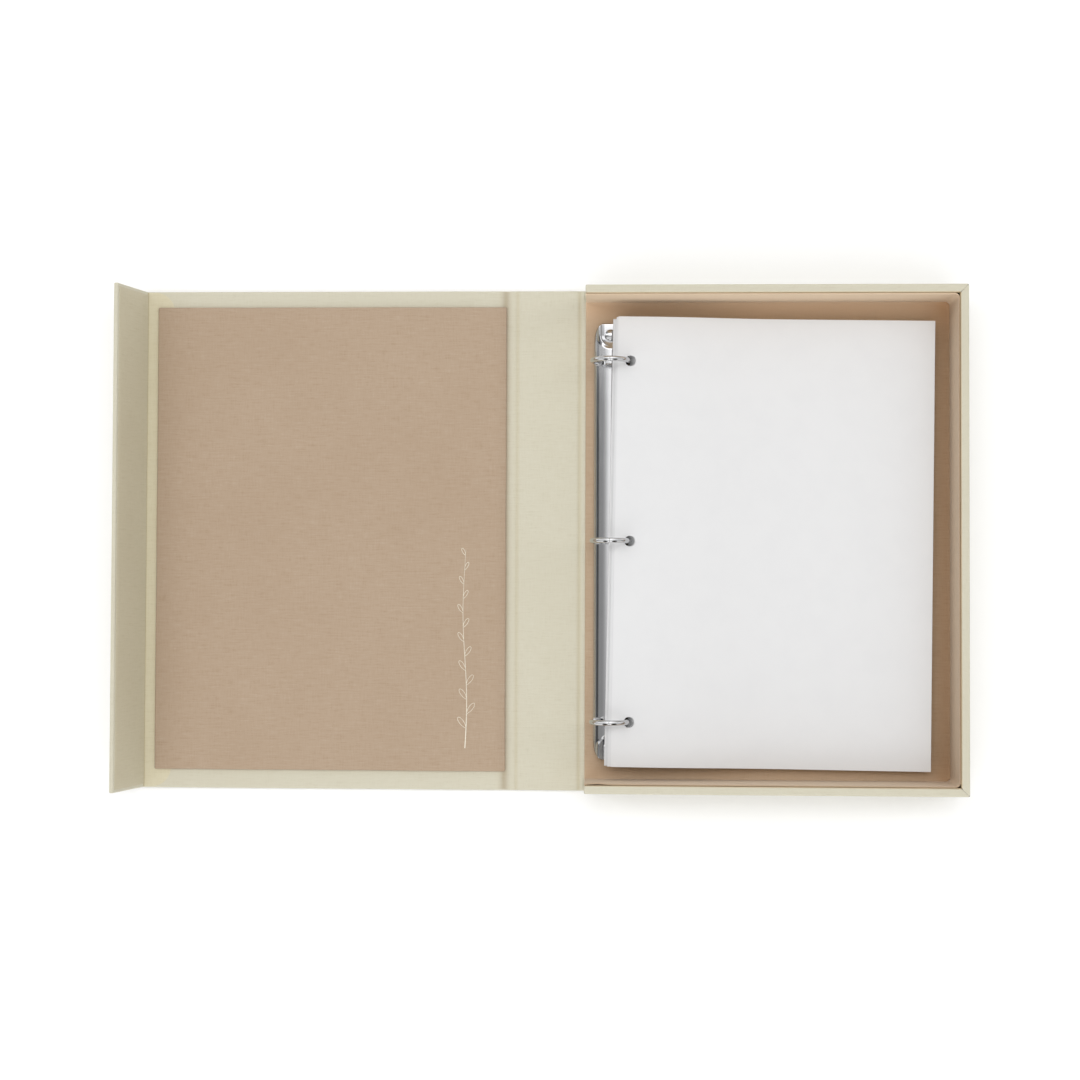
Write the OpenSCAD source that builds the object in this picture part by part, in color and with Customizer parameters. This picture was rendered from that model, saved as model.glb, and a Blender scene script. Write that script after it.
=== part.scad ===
// Clamshell book box: a hard case of four cloth-covered boards (base, spine, cover and flap) that
// folds round a three-walled tray, with a three-ring rail and punched sheets in the tray.
// Millimetres, drawn opened flat with the flap standing. +X runs from the flap to the tray's
// fore edge, +Y to the head and +Z up. The origin is at the centre of the opened box's
// footprint, on the table.

/* [Tray] */
// Width from the hinge end of the base to the outside of the fore-edge wall
tray_w = 225.4; // [190:0.1:300]
// Length over the outsides of the head and tail walls
tray_l = 299.3; // [290:0.1:360]
// Height of the wall rims above the table
rim_z = 38.3; // [36:0.1:70]
// Thickness of a wall with its cloth
wall_t = 5; // [3:0.1:8]
// Setback of the head and tail walls from the hinge end of the base
wall_setback = 1.2; // [0.5:0.1:6]
// Roundness of the rims under their cloth
rim_r = 1; // [0.3:0.1:1.4]
// Thickness of the linen-covered card that lines the walls
lining_t = 0.8; // [0.5:0.1:1.5]
// Drop from the rims to the top of the wall lining
lining_drop = 0.8; // [0.3:0.1:4]
// Radius of the lining where it bends round an inner corner
lining_bend_r = 3.6; // [2:0.1:8]
// Thickness of the linen-covered card on the floor
floor_t = 1; // [0.6:0.1:2]
// Setback of the floor card from the hinge end of the base
floor_setback = 0.5; // [0.3:0.1:3]

/* [Case] */
// Thickness of the greyboards
board_t = 2.1; // [1.6:0.1:3]
// Thickness of the book cloth
cloth_t = 0.3; // [0.2:0.05:0.5]
// Overhang of the case past the head and tail walls
square_w = 1.7; // [0.5:0.1:4]
// Width of the cloth turned in over the edges of the boards
turn_in = 15; // [13:0.5:25]
// Roundness of the cloth over the edges of the boards
edge_r = 0.8; // [0.3:0.1:1]
// Gap between the rims and the closed cover
lid_gap = 0.4; // [0.2:0.1:2]
// Gap beside a board that has folded up against its neighbour
fold_gap = 0.2; // [0.1:0.1:1]

/* [Cloth hinges] */
// Height of the base-to-spine hinge line in the thickness of the case
spine_axis_z = 1.2; // [0.8:0.1:1.4]
// Height of the spine-to-cover hinge line
cover_axis_z = 2.2; // [1:0.1:2.4]
// Height of the cover-to-flap hinge line
flap_axis_z = 2.2; // [1:0.1:2.4]
// Radius of the fold in a hinge cloth
fold_r = 0.35; // [0.3:0.05:0.5]
// Clearance round the fold
fold_clear = 0.08; // [0.05:0.01:0.1]

/* [Flap] */
// Depth of the flap from its hinge line to its free edge
flap_reach = 38.5; // [30:0.1:38.6]
// Angle that the flap stands at, up from the plane of the cover
flap_rise = 76; // [0:1:90]
// Border of cloth round the flap lining
flap_border = 2; // [1:0.1:6]
// Radius of the hidden magnets
magnet_r = 5; // [3:0.5:8]
// Thickness of the hidden magnets
magnet_t = 1.6; // [1:0.1:2]
// Distance of the magnets from the hinge line of the flap
magnet_drop = 18; // [10:0.5:26]
// Spacing of the two magnets
magnet_pitch = 180; // [60:5:260]

/* [Lining laps] */
// Width of the spine lining on the cover
spine_lap_w = 27; // [18:0.5:50]
// Width of the spine lining on the base
base_lap_w = 14; // [6:0.5:20]
// Width of the flap lining on the cover
flap_lap_w = 16; // [14:0.5:40]
// Radius of the rounded ends of the laps
lap_r = 12; // [4:0.5:13]
// Setback of the laps from the head and the tail
lap_inset = 0.6; // [0.4:0.1:3]

/* [Cover panel] */
// Thickness of the raised panel
panel_t = 2; // [1:0.1:3]
// Distance from the cover hinge line to the panel
panel_margin = 6.7; // [5:0.1:20]
// Clearance between the panel and the lining of the fore-edge wall
panel_clear = 0.45; // [0.3:0.05:3]
// Clearance between the panel and the linings of the head and tail walls
panel_side_gap = 3.2; // [1:0.1:10]
// How far the panel was laid off the middle, towards the head
panel_off = 0.7; // [0:0.1:0.9]
// Roundness of the panel's top edges
panel_r = 0.8; // [0.3:0.1:0.9]

/* [Ring rail] */
// Distance from the hinge end of the base to the middle of the rail
rail_inset = 16; // [13:0.1:30]
// How far the rail sits off the middle, towards the tail
rail_off = 0.8; // [0:0.1:3]
// Clearance between the ends of the rail and the linings of the head and tail walls
rail_end_gap = 12; // [10:0.1:20]
// Width of the rail
rail_w = 19.6; // [19:0.1:22]
// Height of the arched rail
rail_h = 6; // [5.8:0.1:7]
// Height of the rail's upright edges below the arch
rail_skirt = 1.5; // [1:0.1:2]
// Thickness of the rail's steel
steel_t = 0.9; // [0.6:0.1:1]
// Radius of the round seats at the ends of the rail
seat_r = 5.9; // [5:0.1:6.2]
// Depth of the round seats under the crown of the rail
seat_drop = 2; // [1.5:0.1:2.4]
// Distance from the end of the rail to the middle of the seat
seat_inset = 7.6; // [7.2:0.1:12]
// Radius of the rivet shanks
rivet_r = 1.5; // [1:0.1:2]
// Radius of the domed rivet heads
rivet_head_r = 3.7; // [2.6:0.1:4.5]
// Height of the domed rivet heads
rivet_head_h = 1.9; // [1:0.1:2.4]

/* [Rings] */
// Radius of the rings to the middle of the wire
ring_r = 10.65; // [10.2:0.05:11]
// Radius of the ring wire
wire_r = 1.4; // [1.2:0.05:1.5]
// Height of the middle of the rings above the floor
ring_lift = 13.5; // [13.2:0.1:14.5]
// Angle that each half ring swings open
ring_swing = 10; // [6:0.5:10]
// Thickness of the blades that carry the half rings
blade_t = 0.7; // [0.5:0.1:0.8]
// Radius of the pin that joins the tips of a closed ring
tip_pin_r = 0.65; // [0.4:0.05:0.8]
// Length of the tip pin
tip_pin_l = 0.9; // [0.5:0.1:1.2]

/* [Sheets] */
// Clearance between the fore edge of the sheets and the lining of the fore-edge wall
sheet_edge_gap = 10.4; // [5:0.1:40]
// Clearance between the ends of the sheets and the linings of the head and tail walls
sheet_end_gap = 9.35; // [4:0.05:15]
// Distance from an end of a sheet to its end hole, 26.55 for holes at the common 107.95
hole_end_margin = 26.55; // [24:0.05:40]
// Thickness of the top sheet
sheet_t = 0.3; // [0.2:0.05:0.5]
// Thickness of the few sheets under the top sheet
middle_t = 1.6; // [0.5:0.1:2.5]
// Diameter of the punched holes
hole_d = 6.8; // [6.6:0.1:7.4]
// Distance from the edge of a sheet to the middle of its holes
hole_margin = 9.5; // [8:0.1:10.5]
// How far the holes hang outside the middle of the wire
hole_off = 1.05; // [0.9:0.05:1.1]
// Angle that the sheets lie askew on the rings
sheet_skew = 0.4; // [0:0.05:0.4]
// How far the middle sheets are fanned towards the spine
middle_fan = 1.2; // [0:0.1:1.6]
// How far the lower sheets are fanned towards the spine
lower_fan = 2.8; // [0:0.1:3]
// Length over which the sheets sink from the rail to the floor
drape_l = 85; // [40:1:140]

/* [Hidden] */
$fn = 48;

// How far a cutting shape runs past what it cuts
past = 1;

// Colours of the real materials
cream = [0.85, 0.83, 0.74];
tan_linen = [0.70, 0.60, 0.50];
greyboard = [0.55, 0.53, 0.50];
chrome = [0.78, 0.79, 0.80];
paper = [0.93, 0.93, 0.92];
magnet_grey = [0.36, 0.37, 0.40];

// Levels in the thickness of the case
turn_z = cloth_t + board_t;
skin_z = turn_z + cloth_t;
case_t = skin_z + cloth_t;
floor_z = case_t + floor_t;

// Half lengths from the middle to the head
case_hl = tray_l / 2 + square_w;
board_hl = case_hl - cloth_t;
window_hl = board_hl - turn_in;
strip_hl = case_hl - edge_r - cloth_t;
lap_hl = case_hl - lap_inset;
tray_hl = tray_l / 2;
mouth_hl = tray_hl - wall_t;
lined_hl = mouth_hl - lining_t;

// Distance from each hinge line to the boards beside it, wide enough for the fold
spine_gap = case_t - spine_axis_z + fold_gap;
cover_gap = case_t - cover_axis_z + fold_gap;
flap_gap = case_t - flap_axis_z + fold_gap;

// Distances between hinge lines, so that the case closes round the tray
spine_reach = rim_z + lid_gap + case_t - spine_axis_z - cover_axis_z;
cover_reach = tray_w + spine_gap + flap_gap - (cover_axis_z - spine_axis_z);
flap_spread = (flap_reach - edge_r) * cos(flap_rise) + (flap_axis_z - edge_r) * sin(flap_rise) + edge_r;
open_l = tray_w + spine_gap + spine_reach + cover_reach + flap_spread;

// Places along X
tray_x1 = open_l / 2;
tray_x0 = tray_x1 - tray_w;
spine_axis_x = tray_x0 - spine_gap;
cover_axis_x = spine_axis_x - spine_reach;
flap_axis_x = cover_axis_x - cover_reach;
wall_x0 = tray_x0 + wall_setback;
wall_in_x = tray_x1 - wall_t;
panel_x0 = flap_axis_x + flap_gap + wall_t + lining_t + panel_clear;
panel_x1 = cover_axis_x - panel_margin;
panel_hl = lined_hl - panel_side_gap;

// Closed height of the flap hinge line, which sets where the magnets meet
closed_flap_z = spine_axis_z + spine_reach + cover_axis_z - flap_axis_z;
magnet_z = closed_flap_z - magnet_drop;

// Sheets, measured from the middle of the rings
hole_x = ring_r + hole_off;
sheet_x0 = hole_x - hole_margin;
sheet_w = tray_w - rail_inset - wall_t - lining_t - sheet_edge_gap - sheet_x0;
sheet_l = 2 * (lined_hl - sheet_end_gap);
ring_pitch = sheet_l / 2 - hole_end_margin;

// The rail is a cap of a cylinder on upright edges
rail_x = tray_x0 + rail_inset;
rail_l = 2 * (lined_hl - rail_end_gap);
rail_hw = rail_w / 2;
rail_arch = rail_h - rail_skirt;
rail_crown_r = (pow(rail_hw, 2) + pow(rail_arch, 2)) / (2 * rail_arch);
rail_axis_z = floor_z + rail_h - rail_crown_r;
rail_bore_r = rail_crown_r - steel_t;
rail_bore_hw = rail_hw - steel_t;
seat_z = floor_z + rail_h - seat_drop;
seat_y = rail_l / 2 - seat_inset;
lip_t = 0.55;
lip_w = 1.6;
part_gap = 0.1;
blade_z = floor_z + lip_t + part_gap;
blade_top_z = blade_z + blade_t;
bore_hw_at_blade = sqrt(pow(rail_bore_r, 2) - pow(blade_top_z - rail_axis_z, 2));
blade_reach = min(rail_bore_hw, bore_hw_at_blade) - 2 * part_gap;
blade_l = rail_l - 4 * seat_inset;
root_x = ring_r / 2;
root_r = 0.8 * wire_r;
ring_z = floor_z + ring_lift;
wire_root_z = ring_z - sqrt(pow(ring_r, 2) - pow(root_x, 2));
slot_play = 0.5;
slot_w = 2 * (wire_r + slot_play);

// Rivets go through the base and spread under it
rivet_flange_r = 4;
rivet_flange_t = 0.5;
post_wall = 1.1;
post_r = rivet_r + post_wall;
shank_clear = 0.05;

// The sheets sink from the top of the rail to the floor
stack_gap = 0.3;
drape_x0 = hole_x + hole_d;
drape_steps = 8;
drape_h = rail_h + stack_gap;
stack_z1 = ring_z - sheet_t / 2;

// ---------- shared shapes ----------

// A block between two corners, centred on Y
module slab(x0, x1, half_l, z0, z1) {
    translate([x0, -half_l, z0])
        cube([x1 - x0, 2 * half_l, z1 - z0]);
}

// A rectangle from the origin with rounded corners
module soft_rect(w, h, r) {
    translate([r, 0])
        square([w - 2 * r, h]);
    translate([0, r])
        square([w, h - 2 * r]);
    for (x = [r, w - r], y = [r, h - r])
        translate([x, y])
            circle(r = r);
}

// Draws an XZ outline along Y, centred
module along_y(half_l) {
    translate([0, half_l, 0])
        rotate([90, 0, 0])
            linear_extrude(2 * half_l)
                children();
}

// Draws a YZ outline along X
module along_x(x0, x1) {
    translate([x0, 0, 0])
        rotate([90, 0, 90])
            linear_extrude(x1 - x0)
                children();
}

// A cloth-covered slab whose edges are rounded at the head, the tail and, where asked, the ends
module wrapped_slab(x0, x1, round_x0, round_x1, half_l, z0, z1, r) {
    over = 2 * r;
    sx0 = round_x0 ? x0 : x0 - over;
    sx1 = round_x1 ? x1 : x1 + over;
    intersection() {
        along_x(x0, x1)
            translate([-half_l, z0])
                soft_rect(2 * half_l, z1 - z0, r);
        along_y(half_l)
            translate([sx0, z0])
                soft_rect(sx1 - sx0, z1 - z0, r);
    }
}

// The outer cloth of one board, with its turn-ins, from x0 to x1
module case_cloth(x0, x1, wrap_x0, wrap_x1) {
    bx0 = wrap_x0 ? x0 + cloth_t : x0;
    bx1 = wrap_x1 ? x1 - cloth_t : x1;
    wx0 = wrap_x0 ? bx0 + turn_in : x0;
    wx1 = wrap_x1 ? bx1 - turn_in : x1;
    difference() {
        wrapped_slab(x0, x1, wrap_x0, wrap_x1, case_hl, 0, skin_z, edge_r);
        slab(bx0, bx1, board_hl, cloth_t, turn_z);
        slab(wx0, wx1, window_hl, turn_z, case_t);
    }
}

// One side of a cloth hinge: the cloths of both faces run together towards the hinge line.
// side is 1 when the strip lies at +X of the line. A fold carries the round bead of the line,
// and a seat is hollowed to turn round it.
module hinge_strip(axis_x, axis_z, gap, side, is_fold) {
    neck = 0.8 * fold_r;
    neck_hz = 0.45 * fold_r;
    rise = case_t - axis_z;
    translate([axis_x, 0, axis_z])
        along_y(strip_hl)
            difference() {
                union() {
                    polygon([
                        [side * (gap + cloth_t), -axis_z], [side * (gap + cloth_t), cloth_t - axis_z],
                        [side * gap, cloth_t - axis_z], [side * gap, rise - cloth_t],
                        [side * neck, neck_hz], [side * neck, -neck_hz], [side * gap, -axis_z],
                    ]);
                    if (is_fold) {
                        circle(r = fold_r);
                    }
                }
                if (!is_fold) {
                    circle(r = fold_r + fold_clear);
                }
            }
}

// Cloth laid flat from x0 to x1, filled up level between the turn-ins
module lap_cloth(x0, x1, half_l) {
    slab(x0, x1, half_l, skin_z, case_t);
    slab(x0, x1, window_hl, turn_z, skin_z);
}

// Plan of a lap whose free corners are rounded; side is 1 when the free end is at +X
module lap_plan(x_fixed, w, side) {
    x_bend = x_fixed + side * (w - lap_r);
    intersection() {
        translate([side > 0 ? x_fixed : x_fixed - w, -lap_hl])
            square([w, 2 * lap_hl]);
        union() {
            translate([x_bend - w, -(lap_hl - lap_r)])
                square([2 * w, 2 * (lap_hl - lap_r)]);
            translate([side > 0 ? x_bend - w : x_bend, -lap_hl])
                square([w, 2 * lap_hl]);
            for (y = [-1, 1])
                translate([x_bend, y * (lap_hl - lap_r)])
                    circle(r = lap_r);
        }
    }
}

// Moves what is drawn flat with the case to the angle that the flap stands at
module flap_pose() {
    translate([flap_axis_x, 0, flap_axis_z])
        rotate([0, flap_rise, 0])
            translate([-flap_axis_x, 0, -flap_axis_z])
                children();
}

// ---------- tray ----------

module base_board() {
    color(greyboard)
        difference() {
            slab(tray_x0, tray_x1 - cloth_t, board_hl, cloth_t, turn_z);
            at_rail_seats() {
                translate([0, 0, -past])
                    cylinder(r = rivet_r + shank_clear, h = floor_z + 2 * past);
                cylinder(r = rivet_flange_r + shank_clear, h = cloth_t + rivet_flange_t);
            }
        }
}

module base_cloth() {
    color(cream) {
        case_cloth(tray_x0, tray_x1, false, true);
        hinge_strip(spine_axis_x, spine_axis_z, spine_gap, 1, true);
    }
}

module spine_lining_base_lap() {
    color(cream)
        difference() {
            union() {
                lap_cloth(tray_x0, tray_x0 + base_lap_w, mouth_hl);
                slab(tray_x0, wall_x0, lap_hl, skin_z, case_t);
            }
            at_rail_seats()
                cylinder(r = rivet_r + shank_clear, h = floor_z);
        }
}

module head_wall_board() {
    color(greyboard)
        translate([wall_x0 + cloth_t, mouth_hl + cloth_t, skin_z])
            cube([wall_in_x - wall_x0, wall_t - 2 * cloth_t, rim_z - cloth_t - skin_z]);
}

module tail_wall_board() {
    mirror([0, 1, 0])
        head_wall_board();
}

module fore_edge_wall_board() {
    color(greyboard)
        difference() {
            slab(wall_in_x + cloth_t, tray_x1 - cloth_t, tray_hl - cloth_t, skin_z, rim_z - cloth_t);
            at_wall_magnets()
                cylinder(r = magnet_r, h = magnet_t + past);
        }
}

// Plan of the rim of the head wall, mitred into the fore-edge wall
module head_rim_plan() {
    polygon([
        [wall_x0, tray_hl], [tray_x1, tray_hl],
        [wall_in_x, mouth_hl], [wall_x0, mouth_hl],
    ]);
}

module head_wall_cloth() {
    wall_h = rim_z - skin_z;
    color(cream)
        difference() {
            intersection() {
                translate([0, 0, skin_z])
                    linear_extrude(wall_h)
                        head_rim_plan();
                along_x(wall_x0, tray_x1)
                    translate([mouth_hl, skin_z - 2 * rim_r])
                        soft_rect(wall_t, wall_h + 2 * rim_r, rim_r);
            }
            head_wall_board();
            fore_edge_wall_board();
        }
}

module tail_wall_cloth() {
    mirror([0, 1, 0])
        head_wall_cloth();
}

module fore_edge_wall_cloth() {
    wall_h = rim_z - skin_z;
    color(cream)
        difference() {
            intersection() {
                translate([0, 0, skin_z])
                    linear_extrude(wall_h)
                        polygon([
                            [tray_x1, tray_hl], [tray_x1, -tray_hl],
                            [wall_in_x, -mouth_hl], [wall_in_x, mouth_hl],
                        ]);
                along_y(tray_hl)
                    translate([wall_in_x, skin_z - 2 * rim_r])
                        soft_rect(wall_t, wall_h + 2 * rim_r, rim_r);
            }
            slab(wall_in_x + cloth_t, tray_x1 - cloth_t, tray_hl - cloth_t, skin_z, rim_z - cloth_t);
            head_wall_board();
            tail_wall_board();
        }
}

// Plan of the space inside the walls, drawn in by inset, with bent corners at the fore edge
module mouth_plan(inset) {
    x1 = wall_in_x - inset;
    half_l = mouth_hl - inset;
    r = lining_bend_r - inset;
    translate([wall_x0, -half_l])
        square([x1 - r - wall_x0, 2 * half_l]);
    translate([x1 - r, -(half_l - r)])
        square([r, 2 * (half_l - r)]);
    for (y = [-1, 1])
        translate([x1 - r, y * (half_l - r)])
            circle(r = r);
}

// One strip of linen-covered card, bent round the inner corners of the three walls
module wall_lining() {
    top_z = rim_z - lining_drop;
    color(tan_linen)
        translate([0, 0, floor_z])
            linear_extrude(top_z - floor_z)
                difference() {
                    mouth_plan(0);
                    mouth_plan(lining_t);
                    translate([wall_x0 - past, -lined_hl])
                        square([tray_w / 2, 2 * lined_hl]);
                }
}

module floor_lining() {
    x0 = tray_x0 + floor_setback;
    color(tan_linen)
        difference() {
            union() {
                slab(x0, wall_x0, mouth_hl, case_t, floor_z);
                slab(wall_x0, wall_in_x, mouth_hl, case_t, floor_z);
                slab(tray_x0 + base_lap_w, wall_in_x, mouth_hl, skin_z, case_t);
                slab(tray_x0 + base_lap_w, tray_x1 - cloth_t - turn_in, window_hl, turn_z, skin_z);
            }
            at_rail_seats()
                cylinder(r = rivet_r + shank_clear, h = 2 * floor_z);
        }
}

// Places children at the two wall magnets, pointing into the wall
module at_wall_magnets() {
    for (y = [-0.5, 0.5])
        translate([tray_x1 - cloth_t - magnet_t, y * magnet_pitch, magnet_z])
            rotate([0, 90, 0])
                children();
}

module wall_magnets() {
    color(magnet_grey)
        at_wall_magnets()
            cylinder(r = magnet_r, h = magnet_t);
}

// ---------- ring rail ----------

// Places children at the middles of the round seats, on the table
module at_rail_seats() {
    for (y = [-1, 1])
        translate([rail_x, y * seat_y - rail_off, 0])
            children();
}

// Places children at the middle of each ring, on the table
module at_rings() {
    for (i = [-1, 0, 1])
        translate([rail_x, i * ring_pitch - rail_off, 0])
            children();
}

// Plan of the rail: a long bar with round ends
module rail_plan(half_w) {
    bar_l = rail_l - rail_w;
    translate([rail_x, -rail_off]) {
        square([2 * half_w, bar_l], center = true);
        for (y = [-0.5, 0.5])
            translate([0, y * bar_l])
                circle(r = half_w);
    }
}

// A bar with the rail's plan and an arched top
module arched_bar(half_w, crown_r, z0) {
    intersection() {
        translate([rail_x, rail_l - rail_off, rail_axis_z])
            rotate([90, 0, 0])
                cylinder(r = crown_r, h = 2 * rail_l);
        translate([0, 0, z0])
            linear_extrude(rail_h + past)
                rail_plan(half_w);
    }
}

module ring_rail() {
    color(chrome) {
        difference() {
            arched_bar(rail_hw, rail_crown_r, floor_z);
            difference() {
                arched_bar(rail_bore_hw, rail_bore_r, floor_z - past);
                at_rail_seats()
                    translate([0, 0, seat_z - steel_t])
                        cylinder(r = seat_r + steel_t, h = rail_h);
            }
            at_rail_seats() {
                translate([0, 0, seat_z])
                    cylinder(r = seat_r, h = rail_h);
                cylinder(r = rivet_r + shank_clear, h = 2 * floor_z + rail_h);
            }
            at_rings()
                for (side = [-1, 1])
                    translate([side * (root_x + wire_r), 0, floor_z + rail_h])
                        cube([root_x + wire_r, slot_w, rail_h + past], center = true);
        }
        rail_lips();
    }
}

// The long edges of the rail are folded in under the blades
module rail_lips() {
    x0 = blade_reach - lip_w;
    x1 = rail_bore_hw + steel_t / 2;
    for (side = [-1, 1])
        translate([rail_x + side * (x0 + x1) / 2, -rail_off, floor_z + lip_t / 2])
            cube([x1 - x0, blade_l, lip_t], center = true);
}

module rail_posts() {
    color(chrome)
        at_rail_seats()
            translate([0, 0, floor_z])
                difference() {
                    cylinder(r = post_r, h = seat_z - steel_t - floor_z);
                    translate([0, 0, -past])
                        cylinder(r = rivet_r + shank_clear, h = rail_h + 2 * past);
                }
}

module rail_rivets() {
    dome_r = (pow(rivet_head_r, 2) + pow(rivet_head_h, 2)) / (2 * rivet_head_h);
    color(chrome)
        at_rail_seats() {
            translate([0, 0, cloth_t])
                cylinder(r = rivet_r, h = seat_z - cloth_t + rivet_head_h / 2);
            translate([0, 0, cloth_t])
                cylinder(r = rivet_flange_r, h = rivet_flange_t);
            intersection() {
                translate([0, 0, seat_z])
                    cylinder(r = rivet_head_r, h = rivet_head_h);
                translate([0, 0, seat_z + rivet_head_h - dome_r])
                    sphere(r = dome_r);
            }
        }
}

// ---------- rings ----------

// A flat blade under one side of the rail, hinged along its outer edge
module right_blade() {
    color(chrome)
        translate([rail_x + part_gap, -rail_off - blade_l / 2, blade_z])
            cube([blade_reach - part_gap, blade_l, blade_t]);
}

module left_blade() {
    translate([2 * rail_x, 0, 0])
        mirror([1, 0, 0])
            right_blade();
}

// The half of one ring at +X of its middle, with its root on the blade
module half_ring() {
    intersection() {
        translate([0, 0, ring_z])
            rotate([90, 0, 0])
                rotate_extrude()
                    translate([ring_r, 0])
                        circle(r = wire_r);
        union() {
            translate([0, -wire_r, ring_z])
                cube([2 * ring_r, 2 * wire_r, 2 * ring_r]);
            translate([root_x - wire_r, -wire_r, blade_top_z])
                cube([2 * ring_r, 2 * wire_r, ring_z]);
        }
    }
    translate([root_x, 0, blade_top_z])
        cylinder(r = root_r, h = wire_root_z - blade_top_z);
}

module right_half_rings() {
    color(chrome)
        at_rings()
            difference() {
                half_ring();
                tip_pin(part_gap);
            }
}

module left_half_rings() {
    color(chrome)
        at_rings() {
            mirror([1, 0, 0])
                half_ring();
            tip_pin(0);
        }
}

// The pin at the tip of a left half ring; clear widens it into the socket of the right half
module tip_pin(clear) {
    translate([-part_gap, 0, ring_z + ring_r])
        rotate([0, 90, 0])
            cylinder(r = tip_pin_r + clear, h = part_gap + tip_pin_l + clear);
}

// ---------- sheets ----------

// Height lost by the sheets at x from the middle of the rings
function sink(x) =
    x <= drape_x0 ? 0 :
    x >= drape_x0 + drape_l ? drape_h :
    drape_h * (1 - cos(180 * (x - drape_x0) / drape_l)) / 2;

// Points along a draped sheet from x0 to x1 whose level at the rings is z
function drape(x0, x1, z) = [
    [x0, z],
    for (i = [0 : drape_steps])
        let (x = drape_x0 + drape_l * i / drape_steps)
            [x, z - sink(x)],
    [x1, z - drape_h],
];

function reversed(list) = [for (i = [len(list) - 1 : -1 : 0]) list[i]];

// A stack of sheets between two levels, fanned towards the spine, before it is skewed
module sheet_stack(fan, z0, z1) {
    x0 = sheet_x0 - fan;
    x1 = sheet_x0 - fan + sheet_w;
    along_y(sheet_l / 2)
        polygon(concat(drape(x0, x1, z1), reversed(drape(x0, x1, z0))));
}

// Lays children on the rail, askew about the middle hole
module on_rings() {
    translate([rail_x + hole_x, -rail_off, 0])
        rotate([0, 0, -sheet_skew])
            translate([-hole_x, 0, 0])
                children();
}

// The holes of a thick stack follow the bend of the rings
module bent_holes() {
    for (i = [-1, 0, 1])
        translate([0, i * ring_pitch, ring_z])
            rotate([90, 0, 0])
                rotate_extrude()
                    translate([hole_x, 0])
                        circle(r = hole_d / 2);
}

module lower_sheets() {
    color(paper)
        on_rings()
            difference() {
                sheet_stack(lower_fan, floor_z + drape_h, stack_z1 - middle_t);
                bent_holes();
            }
}

module middle_sheets() {
    color(paper)
        on_rings()
            difference() {
                sheet_stack(middle_fan, stack_z1 - middle_t, stack_z1);
                bent_holes();
            }
}

module top_sheet() {
    color(paper)
        on_rings()
            difference() {
                sheet_stack(0, stack_z1, stack_z1 + sheet_t);
                for (i = [-1, 0, 1])
                    translate([hole_x, i * ring_pitch, stack_z1 - past])
                        cylinder(r = hole_d / 2, h = sheet_t + 2 * past);
            }
}

// ---------- spine ----------

module spine_board() {
    color(greyboard)
        slab(cover_axis_x + cover_gap, spine_axis_x - spine_gap, board_hl, cloth_t, turn_z);
}

module spine_cloth() {
    color(cream) {
        case_cloth(cover_axis_x + cover_gap, spine_axis_x - spine_gap, false, false);
        hinge_strip(spine_axis_x, spine_axis_z, spine_gap, -1, false);
        hinge_strip(cover_axis_x, cover_axis_z, cover_gap, 1, true);
    }
}

module spine_lining() {
    color(cream)
        lap_cloth(cover_axis_x + cover_gap, spine_axis_x - spine_gap, lap_hl);
}

// ---------- cover ----------

module cover_board() {
    color(greyboard)
        slab(flap_axis_x + flap_gap, cover_axis_x - cover_gap, board_hl, cloth_t, turn_z);
}

module cover_cloth() {
    color(cream) {
        case_cloth(flap_axis_x + flap_gap, cover_axis_x - cover_gap, false, false);
        hinge_strip(cover_axis_x, cover_axis_z, cover_gap, -1, false);
        hinge_strip(flap_axis_x, flap_axis_z, flap_gap, 1, true);
    }
}

module cover_lap(x_fixed, w, side) {
    x_free = x_fixed + side * w;
    translate([0, 0, skin_z])
        linear_extrude(cloth_t)
            lap_plan(x_fixed, w, side);
    slab(min(x_fixed, x_free), max(x_fixed, x_free), window_hl, turn_z, skin_z);
}

module spine_lining_cover_lap() {
    color(cream)
        cover_lap(cover_axis_x - cover_gap, spine_lap_w, -1);
}

module flap_lining_cover_lap() {
    color(cream)
        cover_lap(flap_axis_x + flap_gap, flap_lap_w, 1);
}

// The linen of the panel wraps its board and is pasted down between the laps
module cover_panel_linen() {
    color(tan_linen)
        difference() {
            union() {
                translate([0, panel_off, 0])
                    wrapped_slab(panel_x0, panel_x1, true, true, panel_hl, case_t, case_t + panel_t, panel_r);
                slab(flap_axis_x + flap_gap + flap_lap_w, cover_axis_x - cover_gap - spine_lap_w,
                    window_hl, turn_z, case_t + panel_t / 2);
            }
            cover_panel_board();
        }
}

module cover_panel_board() {
    color(greyboard)
        translate([0, panel_off, 0])
            slab(panel_x0 + cloth_t, panel_x1 - cloth_t, panel_hl - cloth_t,
                case_t + cloth_t, case_t + panel_t - cloth_t);
}

// ---------- flap ----------

module flap_board() {
    color(greyboard)
        flap_pose()
            difference() {
                slab(flap_axis_x - flap_reach + cloth_t, flap_axis_x - flap_gap, board_hl, cloth_t, turn_z);
                at_flap_magnets()
                    cylinder(r = magnet_r, h = magnet_t + past);
            }
}

module flap_cloth() {
    color(cream)
        flap_pose() {
            case_cloth(flap_axis_x - flap_reach, flap_axis_x - flap_gap, true, false);
            hinge_strip(flap_axis_x, flap_axis_z, flap_gap, -1, false);
        }
}

module flap_lining() {
    x0 = flap_axis_x - flap_reach + flap_border;
    color(cream)
        flap_pose() {
            slab(x0, flap_axis_x - flap_gap, case_hl - flap_border, skin_z, case_t);
            slab(flap_axis_x - flap_reach + cloth_t + turn_in, flap_axis_x - flap_gap, window_hl, turn_z, skin_z);
        }
}

// Places children at the two flap magnets, with the flap flat
module at_flap_magnets() {
    for (y = [-0.5, 0.5])
        translate([flap_axis_x - magnet_drop, y * magnet_pitch, turn_z - magnet_t])
            children();
}

module flap_magnets() {
    color(magnet_grey)
        flap_pose()
            at_flap_magnets()
                cylinder(r = magnet_r, h = magnet_t);
}

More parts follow.
